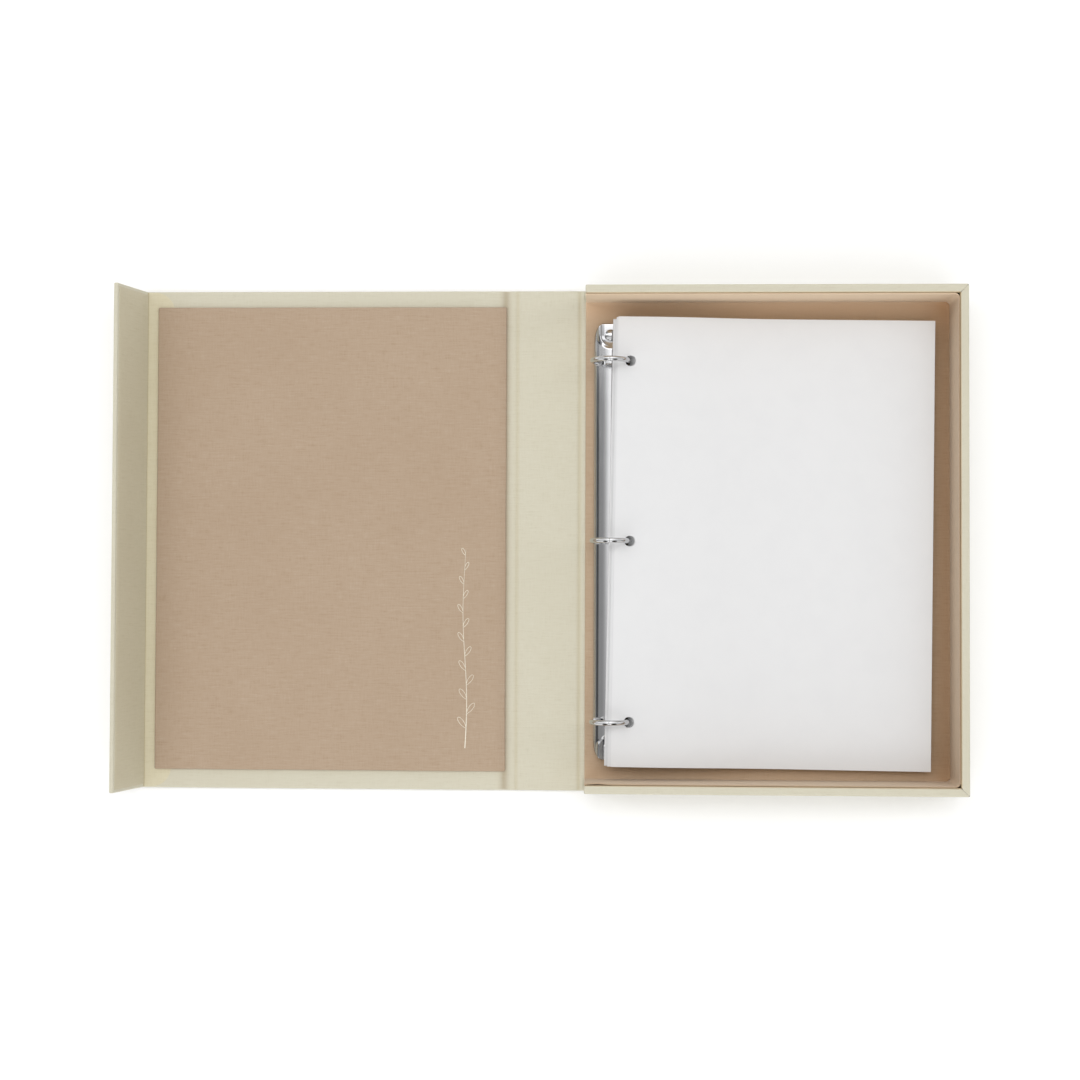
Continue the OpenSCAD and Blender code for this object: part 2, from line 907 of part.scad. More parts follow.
base_board();
base_cloth();
spine_lining_base_lap();
head_wall_board();
tail_wall_board();
fore_edge_wall_board();
head_wall_cloth();
tail_wall_cloth();
fore_edge_wall_cloth();
wall_lining();
floor_lining();
wall_magnets();
ring_rail();
rail_posts();
rail_rivets();
spine_board();
spine_cloth();
spine_lining();
cover_board();
cover_cloth();
cover_panel_board();
cover_panel_linen();
spine_lining_cover_lap();
flap_lining_cover_lap();
flap_board();
flap_cloth();
flap_lining();
flap_magnets();
right_blade();
right_half_rings();
left_blade();
left_half_rings();
lower_sheets();
middle_sheets();
top_sheet();
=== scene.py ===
"""Looks of a clamshell book box: cloth-covered case, lined tray, ring rail and punched sheets."""
import logging
import math
from dataclasses import dataclass, field
from enum import Enum
from typing import Callable, Iterable

import bmesh
import bpy
import numpy as np
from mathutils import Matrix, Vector


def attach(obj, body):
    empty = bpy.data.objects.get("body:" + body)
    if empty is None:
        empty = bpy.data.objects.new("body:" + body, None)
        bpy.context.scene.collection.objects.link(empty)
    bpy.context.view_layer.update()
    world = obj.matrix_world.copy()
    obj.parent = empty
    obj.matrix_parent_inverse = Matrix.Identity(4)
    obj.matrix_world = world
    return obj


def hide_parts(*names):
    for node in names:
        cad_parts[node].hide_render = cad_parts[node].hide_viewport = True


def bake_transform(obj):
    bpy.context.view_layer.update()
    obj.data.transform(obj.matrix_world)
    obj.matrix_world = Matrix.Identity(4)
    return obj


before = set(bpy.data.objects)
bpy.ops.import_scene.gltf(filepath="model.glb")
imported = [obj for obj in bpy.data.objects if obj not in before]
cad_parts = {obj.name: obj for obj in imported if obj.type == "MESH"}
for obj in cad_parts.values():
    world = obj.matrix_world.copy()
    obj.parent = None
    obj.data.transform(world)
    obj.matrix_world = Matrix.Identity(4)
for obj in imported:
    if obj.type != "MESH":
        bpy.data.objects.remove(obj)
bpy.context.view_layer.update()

log = logging.getLogger("book_box")
MM = 0.001
Array = np.ndarray


# ---------- sizes ----------

@dataclass(frozen=True)
class Hinge:
    """A hinge line of the case along Y: its place in the XZ plane and the gap to the boards beside it."""

    x: float
    z: float
    gap: float


@dataclass(frozen=True)
class Plan:
    """Named sizes that the sub-assemblies share, in millimetres."""

    spine_hinge: Hinge = Hinge(24.789, 1.2, 2.0)
    cover_hinge: Hinge = Hinge(-13.511, 2.2, 1.0)
    flap_hinge: Hinge = Hinge(-240.911, 2.2, 1.0)
    tray_x1: float = 252.189
    case_hl: float = 151.35
    lap_hl: float = 150.75
    edge_r: float = 0.8
    cloth_t: float = 0.3
    skin_z: float = 2.7
    case_t: float = 3.0
    floor_z: float = 4.0
    rim_z: float = 38.3
    tray_hl: float = 149.65
    wall_t: float = 5.0
    wall_x0: float = 27.989
    lining_t: float = 0.8

    @property
    def tray_x0(self) -> float:
        """Hinge end of the base."""
        return self.spine_hinge.x + self.spine_hinge.gap

    @property
    def mouth_hl(self) -> float:
        """Half length between the head and tail walls."""
        return self.tray_hl - self.wall_t

    @property
    def mouth_x1(self) -> float:
        """Inner face of the fore-edge wall."""
        return self.tray_x1 - self.wall_t


PLAN = Plan()


# ---------- numbers ----------

def smooth(t: Array) -> Array:
    """Smooth step of t: 0 below 0, 1 above 1, and 3t squared less 2t cubed between."""
    t = np.clip(t, 0.0, 1.0)
    return t * t * (3.0 - 2.0 * t)


def bump(x: Array, centre: float, width: float) -> Array:
    """Bell curve of height 1: e to the power of minus the squared distance in widths."""
    return np.exp(-(((x - centre) / width) ** 2))


def waves(a: Array, b: Array, size: float, seed: int) -> Array:
    """Slow unevenness between -1 and 1: the mean of five sines of random direction and phase.

    Args:
        a: First coordinate of each point, in millimetres.
        b: Second coordinate of each point.
        size: Shortest wavelength.
        seed: Seed of the random draws.

    Returns:
        One value for each point.
    """
    rng = np.random.default_rng(seed)
    total = np.zeros(np.broadcast(a, b).shape)
    for turn, phase, scale in rng.random((5, 3)):
        k = 2.0 * math.pi / (size * (1.0 + 2.0 * scale))
        total += np.sin(k * (a * math.cos(2 * math.pi * turn) + b * math.sin(2 * math.pi * turn)) + 7.0 * phase)
    return total / 5.0


def ticks(lo: float, hi: float, step: float, r_lo: float = 0.0, r_hi: float = 0.0, arc: int = 4,
          close: Iterable[float] = (), reach: float = 3.0, fine: float = 0.3) -> Array:
    """Stations from lo to hi, set for a rounded edge at either end and closer together near given places.

    Args:
        lo: First station.
        hi: Last station.
        step: Largest distance between stations.
        r_lo: Radius of the edge at lo, 0 for a flat end.
        r_hi: Radius of the edge at hi.
        arc: Stations in a rounded edge.
        close: Places that need close stations.
        reach: How far from such a place the stations are close.
        fine: Distance between close stations.

    Returns:
        The stations in rising order.
    """
    a, b = lo + r_lo, hi - r_hi
    parts = [np.linspace(a, b, max(2, int(math.ceil((b - a) / step)) + 1))]
    bend = np.tan(np.linspace(math.pi / 4, 0, arc + 1))
    if r_lo:
        parts.append(a - r_lo * bend)
    if r_hi:
        parts.append(b + r_hi * bend)
    for c in close:
        near = np.linspace(c - reach, c + reach, int(2 * reach / fine) + 1)
        parts.append(near[(near > a) & (near < b)])
    out = np.unique(np.concatenate(parts).round(5))
    keep = np.concatenate([[True], np.diff(out) > 0.02])
    keep[-1] = True
    return out[keep]


# ---------- meshes ----------

@dataclass
class Patchwork:
    """Gathers grids of points, in millimetres, and makes one mesh of them."""

    points: list[Array] = field(default_factory=list)
    layouts: list[Array] = field(default_factory=list)
    quads: list[Array] = field(default_factory=list)
    count: int = 0

    def grid(self, points: Array, uv: Array | None = None, flip: bool = False, keep: Array | None = None) -> None:
        """Adds one grid of quads.

        Args:
            points: Grid of points, rows by columns by 3.
            uv: Cloth coordinates of the points in millimetres; arc lengths where left out.
            flip: Turns the faces round.
            keep: Which quads to keep, rows - 1 by columns - 1.
        """
        rows, cols = points.shape[:2]
        index = np.arange(rows * cols).reshape(rows, cols) + self.count
        quads = np.stack([index[:-1, :-1], index[1:, :-1], index[1:, 1:], index[:-1, 1:]], axis=-1)
        quads = quads[keep] if keep is not None else quads.reshape(-1, 4)
        self.points.append(points.reshape(-1, 3))
        self.layouts.append((arc_lengths(points) if uv is None else uv).reshape(-1, 2))
        self.quads.append(quads[:, ::-1] if flip else quads)
        self.count += rows * cols

    def sheet(self, top: Array, bottom: Array, uv: Array | None = None) -> None:
        """Adds a closed sheet: a top grid, a bottom grid under it, and the strips that join their borders."""
        self.grid(top, uv)
        self.grid(bottom, uv, flip=True)
        for edge, turn in ((np.s_[0, :], True), (np.s_[-1, :], False), (np.s_[:, 0], False), (np.s_[:, -1], True)):
            strip = np.stack([top[edge], bottom[edge]])
            self.grid(strip, None if uv is None else np.stack([uv[edge], uv[edge]]), flip=not turn)

    def make(self, name: str, finish: "Finish", sharp: float = 38.0, turn_out: bool = False) -> bpy.types.Object:
        """Joins the grids where their points meet and makes the object.

        Args:
            name: Name of the piece.
            finish: Finish that it is dressed in.
            sharp: Angle in degrees past which an edge is shaded sharp.
            turn_out: Works the outward side out again, for a closed mesh.

        Returns:
            The new object, at the origin, with its place in its mesh.
        """
        verts = np.concatenate(self.points) * MM
        quads = np.concatenate(self.quads)
        mesh = bpy.data.meshes.new(name)
        mesh.from_pydata(verts.tolist(), [], quads.tolist())
        layer = mesh.uv_layers.new(name="Cloth")
        layer.data.foreach_set("uv", (np.concatenate(self.layouts)[quads.ravel()] * MM).astype(np.float32).ravel())
        work = bmesh.new()
        work.from_mesh(mesh)
        bmesh.ops.remove_doubles(work, verts=work.verts, dist=2e-6)
        bmesh.ops.dissolve_degenerate(work, edges=work.edges, dist=1e-7)
        if turn_out:
            bmesh.ops.recalc_face_normals(work, faces=work.faces)
        work.to_mesh(mesh)
        work.free()
        mesh.polygons.foreach_set("use_smooth", np.ones(len(mesh.polygons), bool))
        mesh.set_sharp_from_angle(angle=math.radians(sharp))
        mesh.update()
        piece = bpy.data.objects.new(name, mesh)
        bpy.context.scene.collection.objects.link(piece)
        piece.data.materials.append(finish.material())
        return piece


def arc_lengths(points: Array) -> Array:
    """Lengths along the rows and along the columns of a grid, up to each point."""
    u = np.zeros(points.shape[:2])
    v = np.zeros(points.shape[:2])
    u[1:] = np.cumsum(np.linalg.norm(np.diff(points, axis=0), axis=-1), axis=0)
    v[:, 1:] = np.cumsum(np.linalg.norm(np.diff(points, axis=1), axis=-1), axis=1)
    return np.stack([u, v], axis=-1)


def unrolled(points: Array, axis: int, side: int, lo: Array, hi: Array) -> Array:
    """Cloth coordinates of one face of a box, laid out flat round its top: X and Y, each carried down the sides."""
    down = hi[2] - points[..., 2]
    u, v = points[..., 0].copy(), points[..., 1].copy()
    if axis == 0:
        u = (hi[0] + down) if side else (lo[0] - down)
    if axis == 1:
        v = (hi[1] + down) if side else (lo[1] - down)
    return np.stack([u, v], axis=-1)


def soft_box(lo: Iterable[float], hi: Iterable[float], radius: float, flat: str = "",
             stations: tuple[Array | None, ...] = (None, None, None),
             step: float = 8.0) -> list[tuple[Array, Array, bool]]:
    """A box with rounded edges, as six grids.

    Each point of the plain box is pulled towards the nearest point of the box's core, which is smaller by the
    radius, until it lies as far from it as its largest coordinate distance.

    Args:
        lo: Lowest corner.
        hi: Highest corner.
        radius: Radius of the edges.
        flat: Ends that keep sharp edges, such as "-x".
        stations: Stations along each axis, None to work them out.
        step: Largest distance between stations that are worked out.

    Returns:
        For each face its points, its cloth coordinates and whether it has to be turned round.
    """
    lo, hi = np.array(lo, float), np.array(hi, float)
    r_lo = np.array([0.0 if f"-{a}" in flat else radius for a in "xyz"])
    r_hi = np.array([0.0 if f"+{a}" in flat else radius for a in "xyz"])
    marks = [ticks(lo[i], hi[i], step, r_lo[i], r_hi[i]) if stations[i] is None else stations[i] for i in range(3)]
    faces = []
    for axis in range(3):
        a, b = (axis + 1) % 3, (axis + 2) % 3
        for side in (0, 1):
            first, second = np.meshgrid(marks[a], marks[b], indexing="ij")
            plain = np.empty(first.shape + (3,))
            plain[..., a], plain[..., b], plain[..., axis] = first, second, (lo, hi)[side][axis]
            core = np.clip(plain, lo + r_lo, hi - r_hi)
            away = plain - core
            length = np.maximum(np.linalg.norm(away, axis=-1, keepdims=True), 1e-9)
            pulled = core + away / length * np.abs(away).max(axis=-1, keepdims=True)
            faces.append((pulled, unrolled(plain, axis, side, lo, hi), side == 0))
    return faces


def turned(points: Array, x: float, z: float, angle: Array | float) -> Array:
    """Points turned about the line along Y through x and z, by an angle in radians, positive as from +Z to +X."""
    dx, dz = points[..., 0] - x, points[..., 2] - z
    c, s = np.cos(angle), np.sin(angle)
    out = points.copy()
    out[..., 0] = x + dx * c + dz * s
    out[..., 2] = z - dx * s + dz * c
    return out


def tube(path: Array, radius: Array | float, sides: int = 28) -> Array:
    """A round wire along a path in an XZ plane: at each point a circle across the path's direction.

    Args:
        path: Points of the middle line, n by 3, all with the same Y.
        radius: Radius at each point.
        sides: Points round the wire.

    Returns:
        Grid of points, n by sides + 1, whose last column repeats the first.
    """
    ahead = np.gradient(path, axis=0)
    ahead /= np.linalg.norm(ahead, axis=1, keepdims=True)
    out = np.stack([-ahead[:, 2], np.zeros(len(path)), ahead[:, 0]], axis=1)
    phi = np.linspace(0, 2 * math.pi, sides + 1)
    r = np.broadcast_to(np.asarray(radius, float), (len(path),))[:, None, None]
    across = out[:, None, :] * np.cos(phi)[None, :, None] + np.array([0.0, 1.0, 0.0]) * np.sin(phi)[None, :, None]
    return path[:, None, :] + r * across


def lathe(profile: Array, x: float, y: float, sides: int = 64) -> Array:
    """A profile of radius and height, turned once round the upright line through x and y."""
    phi = np.linspace(0, 2 * math.pi, sides + 1)
    r, z = profile[:, 0][:, None], profile[:, 1][:, None]
    return np.stack([x + r * np.cos(phi), y + r * np.sin(phi), z + 0 * phi], axis=-1)


# ---------- finishes ----------

def tone(red: float, green: float, blue: float) -> tuple[float, float, float, float]:
    """A colour given in screen values 0 to 255, as linear light: ((c + 0.055) / 1.055) to the power 2.4."""
    c = np.array([red, green, blue]) / 255.0
    lin = np.where(c <= 0.04045, c / 12.92, ((c + 0.055) / 1.055) ** 2.4)
    return (float(lin[0]), float(lin[1]), float(lin[2]), 1.0)


class Wire:
    """A shader socket on which arithmetic adds Math nodes."""

    def __init__(self, tree: "Tree", socket: bpy.types.NodeSocket) -> None:
        """Keeps the tree and the socket."""
        self.tree, self.socket = tree, socket

    def math(self, operation: str, *values: "Wire | float") -> "Wire":
        """Adds a Math node of that operation on the values."""
        return self.tree.add("ShaderNodeMath", {"operation": operation}, dict(enumerate(values)))

    def __add__(self, other: "Wire | float") -> "Wire":
        """Sum."""
        return self.math("ADD", self, other)

    __radd__ = __add__

    def __mul__(self, other: "Wire | float") -> "Wire":
        """Product."""
        return self.math("MULTIPLY", self, other)

    __rmul__ = __mul__

    def __sub__(self, other: "Wire | float") -> "Wire":
        """Difference."""
        return self.math("SUBTRACT", self, other)

    def __rsub__(self, other: "Wire | float") -> "Wire":
        """Difference with this value taken away."""
        return self.math("SUBTRACT", other, self)

    def __pow__(self, other: "Wire | float") -> "Wire":
        """Power."""
        return self.math("POWER", self, other)

    def sine(self) -> "Wire":
        """Sine."""
        return self.math("SINE", self)

    def exponential(self) -> "Wire":
        """E to the power of the value."""
        return self.math("EXPONENT", self)

    def size(self) -> "Wire":
        """Size without its sign."""
        return self.math("ABSOLUTE", self)

    def limited(self, low: float, high: float) -> "Wire":
        """0 below low, 1 above high, smooth between."""
        node = {"data_type": "FLOAT", "interpolation_type": "SMOOTHSTEP"}
        return self.tree.add("ShaderNodeMapRange", node, {"Value": self, "From Min": low, "From Max": high})


class Tree:
    """The node tree of a material or of the sky."""

    def __init__(self, owner: bpy.types.Material | bpy.types.World) -> None:
        """Empties the owner's node tree."""
        owner.use_nodes = True
        self.nodes = owner.node_tree.nodes
        self.links = owner.node_tree.links
        self.nodes.clear()

    def add(self, kind: str, settings: dict[str, object] | None = None,
            inputs: dict[int | str, object] | None = None, output: int | str = 0) -> Wire:
        """Adds one node.

        Args:
            kind: Type of the node.
            settings: Its properties, set first; "ramp" gives a colour ramp's stops.
            inputs: Values or wires of its sockets, by name or number.
            output: Which output is returned.

        Returns:
            That output.
        """
        node = self.nodes.new(kind)
        for key, value in (settings or {}).items():
            if key == "ramp":
                stops = node.color_ramp.elements
                while len(stops) < len(value):
                    stops.new(0.5)
                for stop, (place, colour) in zip(stops, value):
                    stop.position, stop.color = place, colour
            else:
                setattr(node, key, value)
        for key, value in (inputs or {}).items():
            if isinstance(value, Wire):
                self.links.new(value.socket, node.inputs[key])
            else:
                node.inputs[key].default_value = value
        return Wire(self, node.outputs[output]) if len(node.outputs) else None

    def stretched(self, source: str, scale: tuple[float, float, float], turn: float = 0.0) -> Wire:
        """The piece's own coordinates, turned about Z and scaled, in repeats for each metre."""
        place = self.add("ShaderNodeTexCoord", output=source)
        inputs = {"Vector": place, "Rotation": (0.0, 0.0, turn), "Scale": scale}
        return self.add("ShaderNodeMapping", {"vector_type": "POINT"}, inputs)

    def noise(self, where: Wire, scale: float = 1.0, detail: float = 2.0, rough: float = 0.5) -> Wire:
        """Noise between 0 and 1."""
        inputs = {"Vector": where, "Scale": scale, "Detail": detail, "Roughness": rough}
        return self.add("ShaderNodeTexNoise", {"noise_dimensions": "3D"}, inputs, "Fac")

    def mixed(self, share: Wire | float, first: object, second: object, blend: str = "MIX") -> Wire:
        """Two colours mixed."""
        settings = {"data_type": "RGBA", "blend_type": blend}
        return self.add("ShaderNodeMix", settings, {0: share, 6: first, 7: second}, 2)

    def part(self, where: Wire, axis: str) -> Wire:
        """One coordinate of a vector."""
        return self.add("ShaderNodeSeparateXYZ", {}, {0: where}, axis)

    def banded(self, colour: Wire, bands: tuple["Band", ...]) -> Wire:
        """The colour with bands of painted shade and painted light, each a bell curve of the distance along an axis.
        """
        place = self.stretched("Object", (1.0 / MM, 1.0 / MM, 1.0 / MM))
        for band in bands:
            off = (self.part(place, band.axis) - band.at) * (1.0 / band.width)
            colour = self.mixed((0.0 - off * off).exponential() * band.share, colour, band.tone, band.blend)
        return colour

    def raised(self, height: Wire, distance: float, strength: float = 1.0) -> Wire:
        """A Bump normal from a height between 0 and 1, distance in metres."""
        return self.add("ShaderNodeBump", {}, {"Height": height, "Distance": distance, "Strength": strength}, "Normal")

    def surface(self, **inputs: object) -> None:
        """Ends the tree in a Principled shader with those sockets set."""
        named = {key.replace("_", " "): value for key, value in inputs.items()}
        shader = self.add("ShaderNodeBsdfPrincipled", {}, named)
        self.add("ShaderNodeOutputMaterial", {"target": "ALL"}, {"Surface": shader})


class Finish:
    """A finish that makes its material once and hands it out to every piece."""

    name: str

    def dress(self, tree: Tree) -> None:
        """Builds the nodes of the finish."""
        raise NotImplementedError

    def material(self) -> bpy.types.Material:
        """The finish's material, made the first time it is asked for."""
        known = bpy.data.materials.get(self.name)
        if known is None:
            known = bpy.data.materials.new(self.name)
            self.dress(Tree(known))
        return known


class Threads(Enum):
    """Which way the thick threads of a cloth run on its piece."""

    ALONG_X = 0.0
    ALONG_Y = math.pi / 2


@dataclass(frozen=True)
class Band:
    """A soft band of another tone across a finish, for painted shade and painted light: a bell curve of one axis."""

    axis: str
    at: float
    width: float
    share: float
    tone: tuple[float, float, float, float]
    blend: str = "MULTIPLY"


@dataclass(frozen=True)
class BookCloth(Finish):
    """Woven cloth glued on board: thick uneven threads one way, fine ones across, and a woven surface."""

    name: str
    colour: tuple[float, float, float, float]
    dark: tuple[float, float, float, float]
    light: tuple[float, float, float, float]
    threads: Threads = Threads.ALONG_X
    streak: float = 0.5
    pitch: float = 0.00052
    relief: float = 0.00006
    bands: tuple[Band, ...] = ()

    def dress(self, tree: Tree) -> None:
        """Colour from the uneven threads, bump from the same threads and the weave."""
        turn = self.threads.value
        slub = tree.noise(tree.stretched("UV", (120.0, 1150.0, 1.0), turn), 1.0, 3.0, 0.65)
        broad = tree.noise(tree.stretched("UV", (40.0, 600.0, 1.0), turn), 1.0, 2.0, 0.5)
        cross = tree.noise(tree.stretched("UV", (1150.0, 130.0, 1.0), turn), 1.0, 3.0, 0.6)
        fibre = tree.noise(tree.stretched("UV", (2400.0, 2400.0, 1.0), turn), 1.0, 2.0, 0.5)
        stain = tree.noise(tree.stretched("UV", (14.0, 14.0, 1.0), turn), 1.0, 3.0, 0.55)
        thread = slub * 0.44 + broad * 0.1 + cross * 0.26 + fibre * 0.2
        low = tree.mixed(thread.limited(0.36, 0.5), self.dark, self.colour)
        full = tree.mixed(thread.limited(0.5, 0.66), low, self.light)
        colour = tree.mixed(self.streak, self.colour, full)
        colour = tree.mixed(stain.limited(0.3, 0.8) * 0.22, colour, self.dark)
        # Bands of painted shade and painted light over the cloth's colour.
        colour = tree.banded(colour, self.bands)
        flat = tree.stretched("UV", (1.0, 1.0, 1.0), turn)
        warp = (tree.part(flat, "X") * (2 * math.pi / self.pitch)).sine()
        weft = (tree.part(flat, "Y") * (2 * math.pi / self.pitch)).sine()
        weave = warp * weft * 0.5 + 0.5
        height = slub * 0.8 + broad * 0.5 + cross * 0.45 + weave * 0.35 + fibre * 0.25
        tree.surface(Base_Color=colour, Roughness=0.86 + fibre * 0.1, Normal=tree.raised(height, self.relief),
                     Sheen_Weight=0.12, Sheen_Roughness=0.6, Specular_IOR_Level=0.2)


@dataclass(frozen=True)
class Chrome(Finish):
    """Bright plate over pressed steel: near-mirror, with faint waviness and hairline wear."""

    name: str = "chrome_plate"
    colour: tuple[float, float, float, float] = (0.56, 0.562, 0.568, 1.0)
    dull: tuple[float, float, float, float] = (0.50, 0.503, 0.51, 1.0)
    bands: tuple[Band, ...] = ()

    def dress(self, tree: Tree) -> None:
        """Roughness and colour from fine hairlines along the piece, bump from slow waves of the plating."""
        hair = tree.noise(tree.stretched("Object", (900.0, 60.0, 900.0)), 1.0, 3.0, 0.6)
        cloud = tree.noise(tree.stretched("Object", (55.0, 55.0, 55.0)), 1.0, 3.0, 0.5)
        colour = tree.mixed(cloud.limited(0.45, 0.75) * 0.35, self.colour, self.dull)
        # Bands of painted shade over the plate's colour.
        colour = tree.banded(colour, self.bands)
        rough = 0.07 + hair.limited(0.4, 0.8) * 0.06 + cloud * 0.03
        tree.surface(Base_Color=colour, Metallic=1.0, Roughness=rough,
                     Normal=tree.raised(cloud * 0.7 + hair * 0.02, 0.00003))


@dataclass(frozen=True)
class Paper(Finish):
    """Smooth white card: a faint cloudy formation and fine tooth."""

    name: str = "white_card"
    colour: tuple[float, float, float, float] = (0.71, 0.71, 0.712, 1.0)
    shade: tuple[float, float, float, float] = (0.685, 0.685, 0.69, 1.0)

    def dress(self, tree: Tree) -> None:
        """Colour from slow clouds, bump from the fibres."""
        cloud = tree.noise(tree.stretched("Object", (60.0, 60.0, 60.0)), 1.0, 4.0, 0.6)
        tooth = tree.noise(tree.stretched("Object", (3800.0, 3800.0, 3800.0)), 1.0, 2.0, 0.6)
        colour = tree.mixed(cloud.limited(0.35, 0.75) * 0.5, self.colour, self.shade)
        tree.surface(Base_Color=colour, Roughness=0.62 + tooth * 0.12, Specular_IOR_Level=0.3,
                     Normal=tree.raised(tooth, 0.000012))


@dataclass(frozen=True)
class Greyboard(Finish):
    """Raw greyboard: recycled grey pulp with flecks and a rough face."""

    name: str = "raw_greyboard"
    colour: tuple[float, float, float, float] = (0.27, 0.25, 0.22, 1.0)
    fleck: tuple[float, float, float, float] = (0.13, 0.12, 0.11, 1.0)

    def dress(self, tree: Tree) -> None:
        """Colour from flecks of pulp, bump from the felt of the board."""
        pulp = tree.noise(tree.stretched("Object", (900.0, 900.0, 900.0)), 1.0, 4.0, 0.65)
        bits = tree.noise(tree.stretched("Object", (2600.0, 2600.0, 2600.0)), 1.0, 2.0, 0.5)
        colour = tree.mixed(bits.limited(0.58, 0.7) * 0.7, self.colour, self.fleck)
        tree.surface(Base_Color=colour, Roughness=0.9 + pulp * 0.08, Normal=tree.raised(pulp, 0.00008))


@dataclass(frozen=True)
class NickelDisc(Finish):
    """Nickel-plated magnet: brushed grey metal with darker edges of wear."""

    name: str = "nickel_magnet"
    colour: tuple[float, float, float, float] = (0.46, 0.47, 0.49, 1.0)
    worn: tuple[float, float, float, float] = (0.25, 0.25, 0.27, 1.0)

    def dress(self, tree: Tree) -> None:
        """Brushed lines in roughness, dull clouds in colour."""
        brush = tree.noise(tree.stretched("Object", (200.0, 3000.0, 3000.0)), 1.0, 2.0, 0.5)
        cloud = tree.noise(tree.stretched("Object", (240.0, 240.0, 240.0)), 1.0, 3.0, 0.6)
        colour = tree.mixed(cloud.limited(0.5, 0.8) * 0.6, self.colour, self.worn)
        tree.surface(Base_Color=colour, Metallic=1.0, Roughness=0.28 + brush * 0.2, Normal=tree.raised(brush, 0.00001))


@dataclass(frozen=True)
class Foil(Finish):
    """Pale foil pressed into linen: satin cream with the linen's threads showing through."""

    name: str = "cream_foil"
    colour: tuple[float, float, float, float] = tone(236, 232, 216)
    thin: tuple[float, float, float, float] = tone(212, 200, 178)

    def dress(self, tree: Tree) -> None:
        """Colour broken where the threads keep the foil off, with a little gloss."""
        thread = tree.noise(tree.stretched("Object", (500.0, 1500.0, 1.0)), 1.0, 3.0, 0.6)
        colour = tree.mixed(thread.limited(0.5, 0.7), self.colour, self.thin)
        tree.surface(Base_Color=colour, Roughness=0.42 + thread * 0.2, Normal=tree.raised(thread, 0.00003))


@dataclass(frozen=True)
class StudioFloor(Finish):
    """Plain pale floor with a barely cloudy tone."""

    name: str = "studio_floor"

    def dress(self, tree: Tree) -> None:
        """Near-white, matt."""
        cloud = tree.noise(tree.stretched("Object", (2.0, 2.0, 2.0)), 1.0, 2.0, 0.5)
        colour = tree.mixed(cloud, (0.965, 0.965, 0.965, 1.0), (0.97, 0.97, 0.97, 1.0))
        tree.surface(Base_Color=colour, Roughness=0.9, Specular_IOR_Level=0.1)


CREAM = tone(202, 197, 178)
CREAM_DARK = tone(189, 182, 160)
CREAM_LIGHT = tone(209, 206, 190)
TAN = tone(174, 153, 131)
TAN_DARK = tone(160, 137, 113)
TAN_LIGHT = tone(183, 165, 145)
LINING = tone(190, 168, 142)
LINING_DARK = tone(174, 149, 121)
LINING_LIGHT = tone(200, 181, 157)
FLOOR_LINEN = tone(177, 154, 129)
FLOOR_DARK = tone(162, 136, 109)
FLOOR_LIGHT = tone(187, 166, 142)
# Darker, yellower copy of the cream cloth for the flap's lining: painted shade on the flap's inner face.
SHADED_FLAP_TONE = tone(195, 187, 162)
SHADED_FLAP_DARK = tone(181, 171, 142)
SHADED_FLAP_LIGHT = tone(203, 196, 174)
# Painted shade in the pressed hinge grooves of the cream lining.
GROOVE_SHADE = (0.80, 0.72, 0.55, 1.0)
# Painted shade of the gap behind the wall lining's top edge, together with the raw edge's own darker tone.
RAW_EDGE_AND_SHADE = (0.50, 0.39, 0.29, 1.0)
# Painted shade: a warm brown tint for the shadowed gap line along the rims' inner edges.
RIM_GAP_SHADE = (1.0, 0.78, 0.52, 1.0)
SHADED = (0.80, 0.78, 0.75, 1.0)
# Painted contact shadow on the lining beside the panel's edge.
CONTACT_SHADOW = (0.55, 0.44, 0.34, 1.0)
# Painted light: a paler tone mixed into the walls' inner faces, strong at the head, weak at the tail.
WALL_PAINTED_LIGHT = tone(230, 207, 178)
# Painted bounce light: a paler warm tone mixed into the floor beside the head and tail walls.
FLOOR_BOUNCE_LIGHT = tone(226, 194, 161)
# Painted shade: a darker warm tone on the floor in the trench by the fore-edge wall.
TRENCH_SHADE = (0.84, 0.70, 0.56, 1.0)
# Cream lining bands: painted shade in the two hinge grooves and a painted contact shadow beside the panel's edge.
LINING_BANDS = (Band("X", 24.1, 1.2, 0.38, GROOVE_SHADE), Band("X", -13.8, 1.2, 0.3, GROOVE_SHADE),
                Band("X", -20.9, 2.4, 0.55, CONTACT_SHADOW))
PANEL_BANDS = (Band("X", -233.7, 13.0, 0.3, SHADED), Band("X", -20.2, 4.0, 0.3, SHADED))
# Wall lining bands: painted shade and the raw edge's tone along the top edge, painted light on the head and tail
# walls.
WALL_BANDS = (Band("Z", 37.7, 0.6, 0.6, RAW_EDGE_AND_SHADE), Band("Y", 146.5, 4.5, 0.9, WALL_PAINTED_LIGHT, "MIX"),
              Band("Y", -146.5, 4.5, 0.25, WALL_PAINTED_LIGHT, "MIX"))
# Floor bands: painted bounce light by the head and tail walls, painted shade by the fore-edge wall.
FLOOR_BANDS = (Band("Y", 143.0, 11.0, 0.68, FLOOR_BOUNCE_LIGHT, "MIX"), Band("Y", -143.0, 11.0, 0.22, FLOOR_BOUNCE_LIGHT, "MIX"),
               Band("X", 245.0, 8.0, 0.7, TRENCH_SHADE))
CREAM_LINING = BookCloth("cream_cloth_lining", CREAM, CREAM_DARK, CREAM_LIGHT, Threads.ALONG_X, 0.55,
                         bands=LINING_BANDS)
